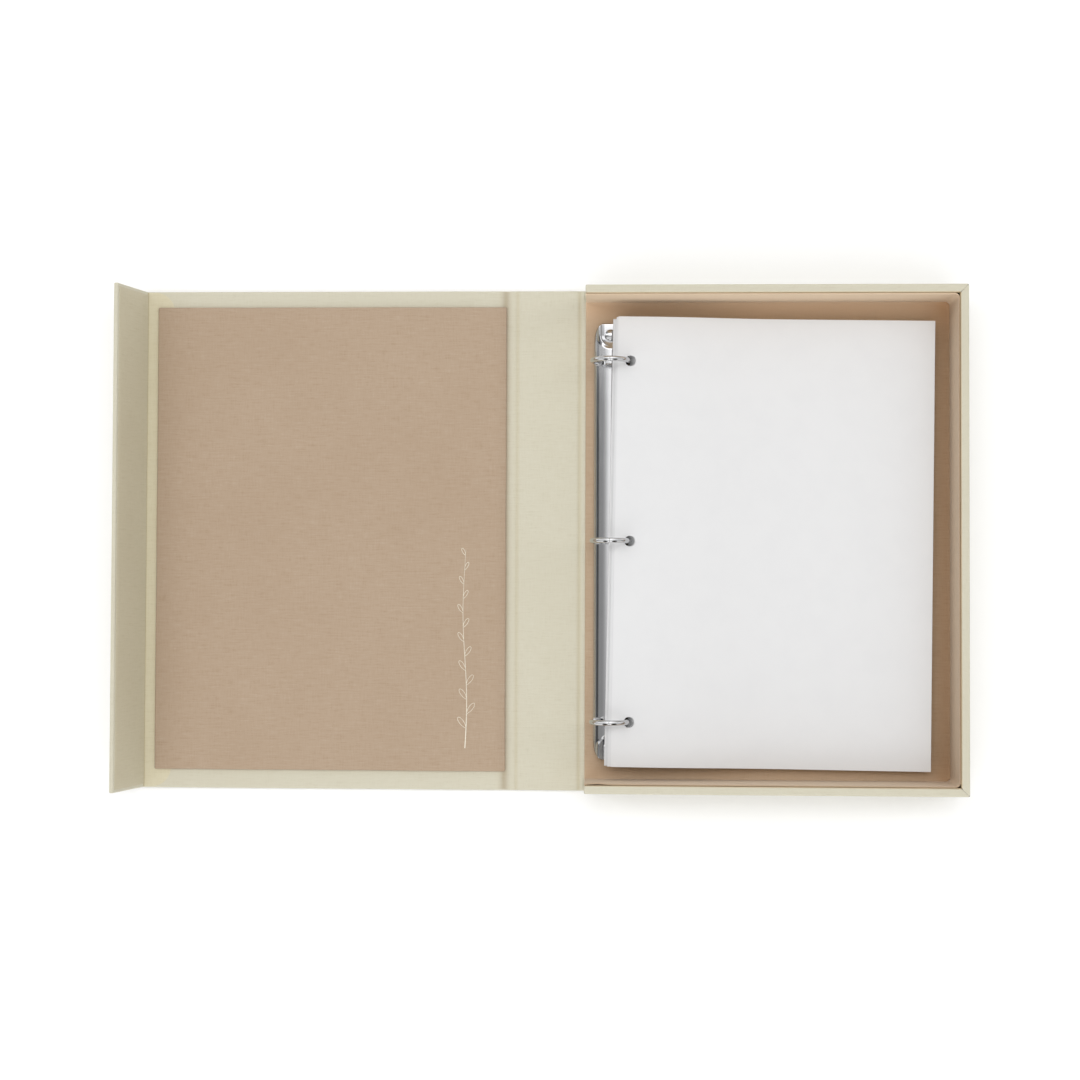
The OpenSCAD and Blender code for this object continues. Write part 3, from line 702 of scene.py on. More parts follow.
# Rim cloth with painted shade along the inner edges, where the gap to the wall lining lies.
CREAM_RIMS = BookCloth("cream_cloth_rims", CREAM, CREAM_DARK, CREAM_LIGHT, Threads.ALONG_X, 0.55,
                       bands=(Band("Y", 144.6, 0.4, 0.85, RIM_GAP_SHADE), Band("Y", -144.6, 0.4, 0.85, RIM_GAP_SHADE)))
CREAM_FORE_RIM = BookCloth("cream_cloth_fore_rim", CREAM, CREAM_DARK, CREAM_LIGHT, Threads.ALONG_Y, 0.45,
                           bands=(Band("X", 247.15, 0.4, 0.85, RIM_GAP_SHADE),))
CREAM_UPRIGHT = BookCloth("cream_cloth_ribs_y", CREAM, CREAM_DARK, CREAM_LIGHT, Threads.ALONG_Y, 0.45)
# Yellower copy of the cream cloth for the lap beside the flap: painted warm light bounced off the standing flap.
CREAM_LAP_WARM_BOUNCE = BookCloth("cream_cloth_lap_warm_bounce", tone(207, 199, 172), tone(193, 183, 153), tone(213, 208, 186),
                      Threads.ALONG_X, 0.55)
# Cream cloth in the painted-shade tones, for the flap's lining.
CREAM_ON_SHADED_FLAP = BookCloth("cream_cloth_shaded_flap", SHADED_FLAP_TONE, SHADED_FLAP_DARK, SHADED_FLAP_LIGHT, Threads.ALONG_X, 0.55)
# Darker, yellower copy of the cream cloth for the flap hinge's lining: painted shade in the crease by the flap.
CREAM_FLAP_CREASE_SHADE = BookCloth("cream_cloth_crease_shade", tone(190, 179, 149), tone(176, 163, 131), tone(198, 189, 162),
                         Threads.ALONG_X, 0.55)
LINEN_ACROSS = BookCloth("tan_linen_threads_x", TAN, TAN_DARK, TAN_LIGHT, Threads.ALONG_X, 0.7, bands=PANEL_BANDS)
LINEN_WALLS = BookCloth("tan_linen_walls", LINING, LINING_DARK, LINING_LIGHT, Threads.ALONG_X, 0.6,
                        bands=WALL_BANDS)
LINEN_UPRIGHT = BookCloth("tan_linen_threads_y", FLOOR_LINEN, FLOOR_DARK, FLOOR_LIGHT, Threads.ALONG_Y, 0.6,
                          bands=FLOOR_BANDS)
CHROME, PAPER, BOARD, MAGNET, FOIL = Chrome(), Paper(), Greyboard(), NickelDisc(), Foil()
# Darker copy of the card for the sheets under the top one: painted shade.
PAPER_SHADED_BELOW = Paper("white_card_shaded_below", (0.665, 0.665, 0.668, 1.0), (0.64, 0.64, 0.645, 1.0))
# Rail chrome with darker bands at the pressed seats: painted shade in the seats.
RAIL_CHROME = Chrome("chrome_plate_rail", bands=tuple(Band("Y", at, 5.5, 0.5, (0.55, 0.55, 0.57, 1.0))
                                                       for at in (123.45, -125.05)))
# Painted shadow of the gap in each ring's closing joint: a near-black line.
SEAM_SHADOW = Greyboard("painted_seam_shadow", (0.010, 0.010, 0.011, 1.0), (0.03, 0.03, 0.032, 1.0))


# ---------- sub-assemblies ----------

class SubAssembly:
    """A group of pieces; each piece rides on a body and may stand for nodes of the frame."""

    def place(self, piece: bpy.types.Object, body: str, slot: str, *nodes: str) -> bpy.types.Object:
        """Lets a finished piece ride on a body and stand for nodes."""
        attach(piece, body)
        if nodes:
            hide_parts(*nodes)
        log.info("%s on %s: %d faces", piece.name, body, len(piece.data.polygons))
        return piece

    def join(self, piece: bpy.types.Object, bodies: tuple[str, str], slot: str, start: tuple[float, float],
             end: tuple[float, float]) -> bpy.types.Object:
        """Bakes a cloth's place into its mesh and logs the two bodies it lies between.

        Args:
            piece: The cloth, whose mesh is final.
            bodies: The two bodies.
            slot: Not used.
            start: Not used.
            end: Not used.

        Returns:
            The piece.
        """
        start[0] * MM
        start[1] * MM
        end[0] * MM
        end[1] * MM
        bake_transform(piece)
        log.info("%s between %s and %s", piece.name, *bodies)
        return piece


def lining_level(x: Array, y: Array) -> Array:
    """Level of the cream lining: the thickness of the case, with a pressed groove and a ridge by each hinge line."""
    soft = 0.75 + 0.25 * waves(0 * x, y, 60.0, 5)
    tail = 1.0 + 0.8 * smooth((-y - 90.0) / 50.0)
    first = -0.42 * bump(x, 24.1, 1.0) - 0.10 * bump(x, 24.9, 1.5) + 0.16 * bump(x, 26.3, 0.5)
    second = -0.22 * bump(x, -14.05, 0.6) * tail + 0.12 * bump(x, -12.0, 0.55)
    return PLAN.case_t + soft * (first + second)


@dataclass
class Case(SubAssembly):
    """The four cloth-covered boards of the case, their hinges and the cream lining."""

    outer_end: float = -279.411
    spine_lap_w: float = 27.0
    flap_lap_w: float = 16.0
    base_lap_w: float = 14.0
    lap_r: float = 12.0
    flap_reach: float = 38.5
    flap_rise: float = math.radians(76.0)
    flap_border: float = 2.0
    groove_places: tuple[float, ...] = (23.5, 26.0, -14.05, -12.0)

    def build(self) -> None:
        """Builds every piece of the case."""
        p = PLAN
        sh, ch, fh = p.spine_hinge, p.cover_hinge, p.flap_hinge
        self.board_cloth("base_outer_cloth", "tray", "base_cloth", sh.x + sh.gap, p.tray_x1, "-x")
        self.board_cloth("spine_outer_cloth", "spine", "spine_cloth", ch.x + ch.gap, sh.x - sh.gap, "-x+x")
        self.board_cloth("cover_outer_cloth", "cover", "cover_cloth", fh.x + fh.gap, ch.x - ch.gap, "-x+x")
        self.board_cloth("flap_outer_cloth", "flap", "flap_cloth", fh.x - self.flap_reach, fh.x - fh.gap, "+x", True)
        self.hinge("base_hinge", ("spine", "tray"), sh)
        self.hinge("cover_hinge", ("cover", "spine"), ch)
        self.hinge("flap_hinge", ("flap", "cover"), fh, self.flap_rise)
        self.lining("base_lap_cloth", "tray", "spine_lining_base_lap", sh.x + sh.gap, sh.x + sh.gap + self.base_lap_w,
                    p.mouth_hl)
        self.lining("spine_lining_cloth", "spine", "spine_lining", ch.x + ch.gap, sh.x - sh.gap, p.lap_hl)
        self.lap("spine_lap_cloth", "spine_lining_cover_lap", ch.x - ch.gap, self.spine_lap_w, -1)
        self.lap("flap_lap_cloth", "flap_lining_cover_lap", fh.x + fh.gap, self.flap_lap_w, 1)
        self.flap_face()

    def posed(self, points: Array) -> Array:
        """Moves flap points drawn flat to the angle that the flap stands at."""
        return turned(points, PLAN.flap_hinge.x, PLAN.flap_hinge.z, self.flap_rise)

    def board_cloth(self, name: str, body: str, node: str, x0: float, x1: float, flat: str,
                    standing: bool = False) -> None:
        """The outer cloth of one board with its turn-ins, as a hollow skin round the board.

        Args:
            name: Name of the piece.
            body: Body that it rides on.
            node: Node that it stands for.
            x0: End towards the flap.
            x1: End towards the fore edge.
            flat: Ends that run on into a hinge and keep sharp edges.
            standing: Whether it is the flap, which stands up.
        """
        p = PLAN
        work = Patchwork()
        for points, uv, flip in soft_box((x0, -p.case_hl, 0.0), (x1, p.case_hl, p.skin_z), p.edge_r, flat):
            edge = smooth((np.abs(points[..., 1]) - p.case_hl + 1.2) / 1.0)
            points[..., 1] -= np.sign(points[..., 1]) * 0.07 * edge * (1 + waves(points[..., 0], 0 * edge, 37.0, 3))
            work.grid(self.posed(points) if standing else points, uv, flip)
        piece = work.make(name, CREAM_UPRIGHT, turn_out=True)
        wall = piece.modifiers.new("cloth", "SOLIDIFY")
        wall.thickness, wall.offset = p.cloth_t * MM * 0.9, -1.0
        self.place(piece, body, "cream_cloth", node)

    def hinge(self, name: str, bodies: tuple[str, str], line: Hinge, rise: float = 0.0) -> None:
        """The cloth between two boards: the outer cloth with its turn-in, and the lining over it.

        Args:
            name: Start of the pieces' names.
            bodies: Bodies at the flap's side and at the fore edge's side.
            line: Hinge line.
            rise: Angle at rest by which the side towards the flap is turned up.
        """
        p = PLAN
        x0, x1 = line.x - line.gap, line.x + line.gap
        across = np.linspace(x0, x1, 25)
        crease = 0.3 if rise else line.gap
        start, end = (x0, line.z), (x1, line.z)
        if rise:
            d = np.array([1 + math.cos(rise), -math.sin(rise)]) / math.hypot(1 + math.cos(rise), math.sin(rise))
            start, end = (line.x - crease * d[0], line.z - crease * d[1]), (line.x + crease * d[0], line.z + crease * d[1])

        def bent(points: Array) -> Array:
            """Turns up what lies towards the flap, the more the further it is from the other board."""
            share = 1.0 - smooth((points[..., 0] - line.x + crease) / (2 * crease))
            return turned(points, line.x, line.z, rise * share) if rise else points

        outer = Patchwork()
        marks = (across, None, None)
        for points, uv, flip in soft_box((x0, -p.case_hl + 0.05, 0.0), (x1, p.case_hl - 0.05, p.skin_z), p.edge_r,
                                         "-x+x", marks, step=10.0):
            x, y, z = points[..., 0], points[..., 1], points[..., 2]
            dip = lining_level(x, y) - p.case_t - 0.02
            points[..., 2] = z + dip * smooth((z - 1.6) / 1.0)
            outer.grid(bent(points), uv, flip)
        self.join(outer.make(name + "_outer_cloth", CREAM_UPRIGHT, turn_out=True), bodies, "cream_cloth", start, end)

        y = ticks(-p.lap_hl, p.lap_hl, 6.0, 0.3, 0.3, 2)
        xx, yy = np.meshgrid(across, y, indexing="ij")
        drop = 0.12 * smooth((np.abs(yy) - p.lap_hl + 0.25) / 0.25)
        top = np.stack([xx, yy, lining_level(xx, yy) - drop], axis=-1)
        inner = Patchwork()
        inner.sheet(bent(top), bent(top - np.array([0, 0, p.cloth_t])), np.stack([xx, yy], axis=-1))
        # The flap's hinge lining gets the copy with painted crease shade.
        finish = CREAM_FLAP_CREASE_SHADE if rise else CREAM_LINING
        self.join(inner.make(name + "_lining", finish, turn_out=True), bodies, "cream_cloth", start, end)

    def lining(self, name: str, body: str, node: str, x0: float, x1: float, half_l: float) -> None:
        """Lining cloth laid over a board from hinge to hinge."""
        x = ticks(x0, x1, 6.0, close=self.groove_places, fine=0.25)
        y = ticks(-half_l, half_l, 6.0, 0.3, 0.3, 2)
        xx, yy = np.meshgrid(x, y, indexing="ij")
        drop = 0.12 * smooth((np.abs(yy) - half_l + 0.25) / 0.25)
        top = np.stack([xx, yy, lining_level(xx, yy) - drop], axis=-1)
        work = Patchwork()
        work.sheet(top, top - np.array([0, 0, PLAN.cloth_t]), np.stack([xx, yy], axis=-1))
        self.place(work.make(name, CREAM_LINING, turn_out=True), body, "cream_cloth", node)

    def lap(self, name: str, node: str, fixed: float, width: float, side: int) -> None:
        """Lining lapped on to the cover; its free corners are quarter circles.

        Each row runs from the fixed edge to the free edge, which draws in by r less the square root of r squared
        less d squared, where d is how far the row lies past the start of the corner.
        """
        p = PLAN
        y = ticks(-p.lap_hl, p.lap_hl, 6.0, 0.3, 0.3, 2, close=(-p.lap_hl + 6, p.lap_hl - 6), reach=6.5, fine=0.5)
        past = np.clip(np.abs(y) - (p.lap_hl - self.lap_r), 0, self.lap_r)
        reach = width - self.lap_r + np.sqrt(np.maximum(self.lap_r ** 2 - past ** 2, 0.0))
        share = ticks(0, 1, 0.12, close=(0.0, 1.0), reach=0.12, fine=0.012)
        xx = fixed + side * share[:, None] * reach[None, :]
        yy = np.broadcast_to(y, xx.shape)
        rim = np.minimum((1 - share[:, None]) * reach, p.lap_hl - np.abs(yy))
        top = np.stack([xx, yy, lining_level(xx, yy) - 0.14 * smooth(1 - rim / 0.3)], axis=-1)
        work = Patchwork()
        work.sheet(top, top - np.array([0, 0, p.cloth_t]), np.stack([xx, yy], axis=-1))
        # The lap beside the flap gets the copy with painted warm bounce.
        finish = CREAM_LAP_WARM_BOUNCE if side > 0 else CREAM_LINING
        self.place(work.make(name, finish, turn_out=True), "cover", "cream_cloth", node)

    def flap_face(self) -> None:
        """Lining cloth on the inner face of the flap, short of its free edge by the border."""
        p = PLAN
        x0, x1 = p.flap_hinge.x - self.flap_reach + self.flap_border, p.flap_hinge.x - p.flap_hinge.gap
        half_l = p.case_hl - self.flap_border
        xx, yy = np.meshgrid(ticks(x0, x1, 4.0, 0.3, 0, 2), ticks(-half_l, half_l, 6.0, 0.3, 0.3, 2), indexing="ij")
        rim = np.minimum(xx - x0, half_l - np.abs(yy))
        level = p.case_t - 0.14 * smooth(1 - rim / 0.3) + 0.04 * waves(xx, yy, 40.0, 8) * smooth((rim - 1) / 8)
        top = np.stack([xx, yy, level], axis=-1)
        work = Patchwork()
        work.sheet(self.posed(top), self.posed(top - np.array([0, 0, p.cloth_t])), np.stack([xx, yy], axis=-1))
        # The flap's lining wears the painted-shade copy of the cream cloth.
        self.place(work.make("flap_lining_cloth", CREAM_ON_SHADED_FLAP, turn_out=True), "flap", "cream_cloth", "flap_lining")


@dataclass
class Panel(SubAssembly):
    """The linen-covered panel inside the cover, with its pressed foil sprig."""

    x0: float = -233.661
    x1: float = -20.211
    half_l: float = 140.65
    shift: float = 0.7
    top_z: float = 5.0
    edge_r: float = 0.9
    stem_x: float = -44.5
    stem_y: tuple[float, float] = (-126.0, -6.0)
    stem_w: float = 0.55

    def build(self) -> None:
        """Builds the linen and the sprig."""
        work = Patchwork()
        lo, hi = (self.x0, self.shift - self.half_l, PLAN.skin_z + 0.02), (self.x1, self.shift + self.half_l, self.top_z)
        for points, uv, flip in soft_box(lo, hi, self.edge_r, "-z", step=6.0):
            x, y = points[..., 0], points[..., 1]
            rim = np.minimum(np.minimum(x - lo[0], hi[0] - x), np.minimum(y - lo[1], hi[1] - y))
            lift = smooth((points[..., 2] - 3.2) / 1.5)
            points[..., 2] += lift * (0.05 * waves(x, y, 45.0, 21) * smooth(rim / 12) - 0.10 * smooth(1 - rim / 4.5))
            points[..., 0] += 0.08 * waves(y, 0 * y, 30.0, 4) * smooth(1 - rim / 3)
            points[..., 1] += 0.08 * waves(x, 0 * x, 30.0, 6) * smooth(1 - rim / 3)
            work.grid(points, uv, flip)
        piece = work.make("cover_panel_cloth", LINEN_ACROSS, turn_out=True)
        self.place(piece, "cover", "tan_linen", "cover_panel_linen")
        self.sprig()

    def ribbon(self, work: Patchwork, line: Array, width: Array) -> None:
        """A flat ribbon of foil along a line in plan: the line plus and less half the width across its direction."""
        ahead = np.gradient(line, axis=0)
        ahead /= np.maximum(np.linalg.norm(ahead, axis=1, keepdims=True), 1e-9)
        across = np.stack([-ahead[:, 1], ahead[:, 0]], axis=1) * width[:, None] / 2
        plan = np.stack([line + across * s for s in (1.0, 0.33, -0.33, -1.0)], axis=1)
        level = np.array([self.top_z - 0.06, self.top_z + 0.09, self.top_z + 0.09, self.top_z - 0.06])
        top = np.concatenate([plan, np.broadcast_to(level, plan.shape[:2])[..., None]], axis=-1)
        bottom = top.copy()
        bottom[..., 2] = self.top_z - 0.12
        work.sheet(top, bottom)

    def sprig(self) -> None:
        """A plain leaf sprig: a swaying stem with pairs of outlined leaves that shrink towards the tip."""
        t = np.linspace(0, 1, 90)
        y = self.stem_y[0] + (self.stem_y[1] - self.stem_y[0]) * t
        x = self.stem_x + 1.1 * np.sin(2.2 * math.pi * t) - 0.6 * t
        work = Patchwork()
        self.ribbon(work, np.stack([x, y], axis=1), self.stem_w * (1.15 - 0.75 * t))
        for k, at in enumerate(np.linspace(0.10, 0.97, 13)):
            side = 1 if k % 2 else -1
            length = 8.5 * (1.0 - 0.45 * at)
            root = np.array([np.interp(at, t, x), np.interp(at, t, y)])
            lean = math.radians(90 - side * (38 - 12 * at))
            a = np.linspace(0, 2 * math.pi, 49)
            along = (1 - np.cos(a)) / 2 * length
            wide = np.sin(a) * np.abs(np.sin(a / 2)) ** 0.7 * (0.20 + 0.02 * np.cos(a)) * length
            leaf = np.stack([along * math.cos(lean) - wide * math.sin(lean),
                             along * math.sin(lean) + wide * math.cos(lean)], axis=1)
            self.ribbon(work, root + leaf, np.full(len(a), 0.34))
        self.place(work.make("panel_foil_sprig", FOIL, turn_out=True), "cover", "cream_cloth")


@dataclass
class Tray(SubAssembly):
    """The three-walled tray: cloth-covered walls, linen lining and linen floor."""

    rim_r: float = 1.0
    corner_r: float = 1.3
    bend_r: float = 3.6
    lining_drop: float = 0.8
    cove_r: float = 2.4
    floor_r: float = 5.0
    steep: float = 0.86
    floor_x0: float = 27.75

    def build(self) -> None:
        """Builds every piece of the tray."""
        self.end_wall("head_wall_outer_cloth", "head_wall_cloth", 1)
        self.end_wall("tail_wall_outer_cloth", "tail_wall_cloth", -1)
        self.fore_edge_wall()
        self.wall_lining()
        self.floor_lining()

    def softened(self, points: Array) -> Array:
        """Rounds the upright outer corners, sinks the rims at the mitres and makes the cloth a little uneven.

        A point past the corner's centre in both directions is drawn back to the corner's circle. The rim sinks by
        a bell curve of its distance from the mitre line.
        """
        p = PLAN
        x, y, z = points[..., 0], np.abs(points[..., 1]), points[..., 2]
        cx, cy = p.tray_x1 - self.corner_r, p.tray_hl - self.corner_r
        dx, dy = np.maximum(x - cx, 0), np.maximum(y - cy, 0)
        length = np.maximum(np.hypot(dx, dy), 1e-9)
        pull = np.where((dx > 0) & (dy > 0), np.minimum(1.0, self.corner_r / length), 1.0)
        out = points.copy()
        out[..., 0] = np.where((dx > 0) & (dy > 0), cx + dx * pull, x)
        out[..., 1] = np.sign(points[..., 1]) * np.where((dx > 0) & (dy > 0), cy + dy * pull, y)
        seam = np.abs((p.tray_x1 - x) - (p.tray_hl - y)) / math.sqrt(2)
        inside = (x > p.mouth_x1 - 1) & (y > p.mouth_hl - 1)
        high = smooth((z - 30.0) / 7.0)
        out[..., 2] -= np.where(inside, 0.32 * np.exp(-((seam / 0.35) ** 2)), 0.0) * high
        out[..., 2] += 0.09 * high * waves(x, points[..., 1], 28.0, 9)
        return out

    def end_wall(self, name: str, node: str, side: int) -> None:
        """The cloth over the head or the tail wall, cut at 45 degrees where it meets the fore-edge wall.

        Each point slides along X in proportion, so that the far end lies on the mitre plane.
        """
        p = PLAN
        lo, hi = (p.wall_x0, p.mouth_hl, p.skin_z), (p.tray_x1, p.tray_hl, p.rim_z)
        x = ticks(lo[0], hi[0], 5.0, self.rim_r, 0.0, close=(p.tray_x1 - 2.5,), reach=2.6, fine=0.2)
        y = ticks(lo[1], hi[1], 0.5, self.rim_r, self.rim_r, 5)
        work = Patchwork()
        for points, uv, flip in soft_box(lo, hi, self.rim_r, "+x-z", (x, y, None), step=3.0):
            end = p.tray_x1 - (p.tray_hl - points[..., 1]) - 0.04
            points[..., 0] = lo[0] + (points[..., 0] - lo[0]) * (end - lo[0]) / (hi[0] - lo[0])
            points = self.softened(points)
            points[..., 1] *= side
            work.grid(points, uv, flip != (side < 0))
        self.skin(work, name, "head" if side > 0 else "tail", node, CREAM_RIMS)

    def fore_edge_wall(self) -> None:
        """The cloth over the fore-edge wall, mitred at both ends."""
        p = PLAN
        lo, hi = (p.mouth_x1, -p.tray_hl, p.skin_z), (p.tray_x1, p.tray_hl, p.rim_z)
        x = ticks(lo[0], hi[0], 0.5, self.rim_r, self.rim_r, 5)
        y = ticks(lo[1], hi[1], 5.0, close=(-p.tray_hl + 2.5, p.tray_hl - 2.5), reach=2.6, fine=0.2)
        work = Patchwork()
        for points, uv, flip in soft_box(lo, hi, self.rim_r, "-y+y-z", (x, y, None), step=3.0):
            end = p.tray_hl - (p.tray_x1 - points[..., 0]) - 0.04
            points[..., 1] *= end / p.tray_hl
            work.grid(self.softened(points), uv, flip)
        self.skin(work, "fore_edge_wall_outer_cloth", "fore", "fore_edge_wall_cloth", CREAM_FORE_RIM)

    def skin(self, work: Patchwork, name: str, part: str, node: str, finish: Finish) -> None:
        """Makes a wall's cloth a hollow skin and places it."""
        piece = work.make(name, finish, turn_out=True)
        wall = piece.modifiers.new("cloth", "SOLIDIFY")
        wall.thickness, wall.offset = PLAN.cloth_t * MM * 0.9, -1.0
        log.info("skin of the %s wall", part)
        self.place(piece, "tray", "cream_cloth", node)

    def wall_path(self) -> tuple[Array, Array, Array]:
        """The inner faces of the walls in plan, from the tail's open end round to the head's.

        Returns:
            Points n by 2, inward directions n by 2, and the length along the path.
        """
        p, r = PLAN, self.bend_r
        straight = ticks(p.wall_x0 + 0.1, p.mouth_x1 - r, 4.0, close=(p.wall_x0 + 8,), reach=9, fine=0.6)
        turn = np.linspace(-math.pi / 2, 0, 13)[1:]
        cx, cy = p.mouth_x1 - r, p.mouth_hl - r
        low = np.stack([straight, np.full(len(straight), -p.mouth_hl)], axis=1)
        bend = np.stack([cx + r * np.cos(turn), -cy + r * np.sin(turn)], axis=1)
        side = ticks(-cy, cy, 4.0)[1:-1]
        mid = np.stack([np.full(len(side), p.mouth_x1), side], axis=1)
        half = np.concatenate([low, bend])
        inward = np.concatenate([np.tile([0.0, 1.0], (len(low), 1)), np.stack([-np.cos(turn), -np.sin(turn)], axis=1)])
        flip_y = np.array([1.0, -1.0])
        points = np.concatenate([half, mid, half[::-1] * flip_y])
        normals = np.concatenate([inward, np.tile([-1.0, 0.0], (len(mid), 1)), inward[::-1] * flip_y])
        length = np.concatenate([[0.0], np.cumsum(np.linalg.norm(np.diff(points, axis=0), axis=1))])
        return points, normals, length

    def wall_lining(self) -> None:
        """Linen-covered card along the inner faces: a thin upright section with a rolled top, carried round the walls.

        The section stands a little off the wall at the top, and bows further off near the tail's open end.
        """
        p = PLAN
        points, normals, length = self.wall_path()
        top = p.rim_z - self.lining_drop
        z_side = ticks(p.floor_z - 0.05, top - 0.33, 3.0, close=(top - 3,), reach=2.5, fine=0.7)
        roll = np.linspace(0, math.pi, 9)
        outer, inner = 0.12, p.lining_t
        mid, half = (outer + inner) / 2, (inner - outer) / 2
        section = np.concatenate([
            np.stack([np.full(len(z_side), inner), z_side], axis=1),
            np.stack([mid + half * np.cos(roll[1:-1]), top - 0.33 + 0.33 * np.sin(roll[1:-1])], axis=1),
            np.stack([np.full(len(z_side), outer), z_side[::-1]], axis=1)])
        high = smooth((section[:, 1] - 8.0) / 28.0)
        near_tail = bump(points[:, 0], p.wall_x0 + 7.5, 6.0) * (points[:, 1] < -p.mouth_hl + 1)
        bow = 0.55 * near_tail + 0.10 + 0.03 * waves(length, 0 * length, 26.0, 14)
        off = section[:, 0][None, :] + high[None, :] * bow[:, None]
        grid = np.empty((len(points), len(section), 3))
        grid[..., :2] = points[:, None, :] + normals[:, None, :] * off[..., None]
        grid[..., 2] = section[:, 1][None, :] + 0.03 * high * waves(length[:, None], 0 * off, 33.0, 15)
        around = np.concatenate([[0.0], np.cumsum(np.linalg.norm(np.diff(section, axis=0), axis=1))])
        uv = np.stack(np.meshgrid(length, around, indexing="ij"), axis=-1)
        closed = np.concatenate([grid, grid[:, :1]], axis=1)
        work = Patchwork()
        work.grid(closed, np.concatenate([uv, uv[:, -1:] + np.array([0.0, 0.7])], axis=1))
        for end in (0, -1):
            count = len(z_side)
            outside = grid[end, -count:][::-1]
            inside = grid[end, :count]
            work.grid(np.stack([inside, outside]), flip=end == 0)
            cap = grid[end, count - 1:-count + 1]
            work.grid(np.stack([cap[: len(cap) // 2 + 1], cap[::-1][: len(cap) // 2 + 1]]), flip=end == 0)
        self.place(work.make("wall_lining_cloth", LINEN_WALLS, turn_out=True), "tray", "tan_linen", "wall_lining")

    def floor_lining(self) -> None:
        """Linen-covered card on the floor; it curves up where it meets the walls.

        Its level is the floor plus r less the square root of r squared less a share of (r - d), squared, where d is
        the distance from the nearest wall, or from a round drawn into the corner, for d below the cove's radius r.
        """
        p = PLAN
        half_l, x1 = p.mouth_hl - 0.15, p.mouth_x1 - 0.15
        x = ticks(self.floor_x0, x1, 5.0, 0.5, 0.0, close=(x1,), reach=self.cove_r + 0.2, fine=0.3)
        y = ticks(-half_l, half_l, 5.0, close=(-half_l, half_l), reach=self.cove_r + 0.2, fine=0.3)
        xx, yy = np.meshgrid(x, y, indexing="ij")
        far, r = np.stack([x1 - xx, half_l - np.abs(yy)]) - p.lining_t + 0.15, self.floor_r
        inside = np.where(far.max(axis=0) < r, r - np.hypot(*(r - far)), far.min(axis=0)).clip(0)
        rise = self.steep * np.maximum(self.cove_r - inside, 0)
        cove = self.cove_r - np.sqrt(np.maximum(self.cove_r ** 2 - rise ** 2, 0))
        fade = smooth((xx - self.floor_x0 - 0.6) / 3.0)
        roll = 0.45 * (1 - np.sqrt(np.maximum(1 - (1 - np.clip((xx - self.floor_x0) / 0.5, 0, 1)) ** 2, 0)))
        level = p.floor_z + cove * fade - roll + 0.04 * waves(xx, yy, 50.0, 31) * smooth((inside - 3) / 6)
        top = np.stack([xx, yy, level], axis=-1)
        bottom = top.copy()
        bottom[..., 2] = p.case_t + 0.02
        work = Patchwork()
        work.sheet(top, bottom, np.stack([xx, yy], axis=-1))
        self.place(work.make("floor_lining_cloth", LINEN_UPRIGHT, turn_out=True), "tray", "tan_linen", "floor_lining")


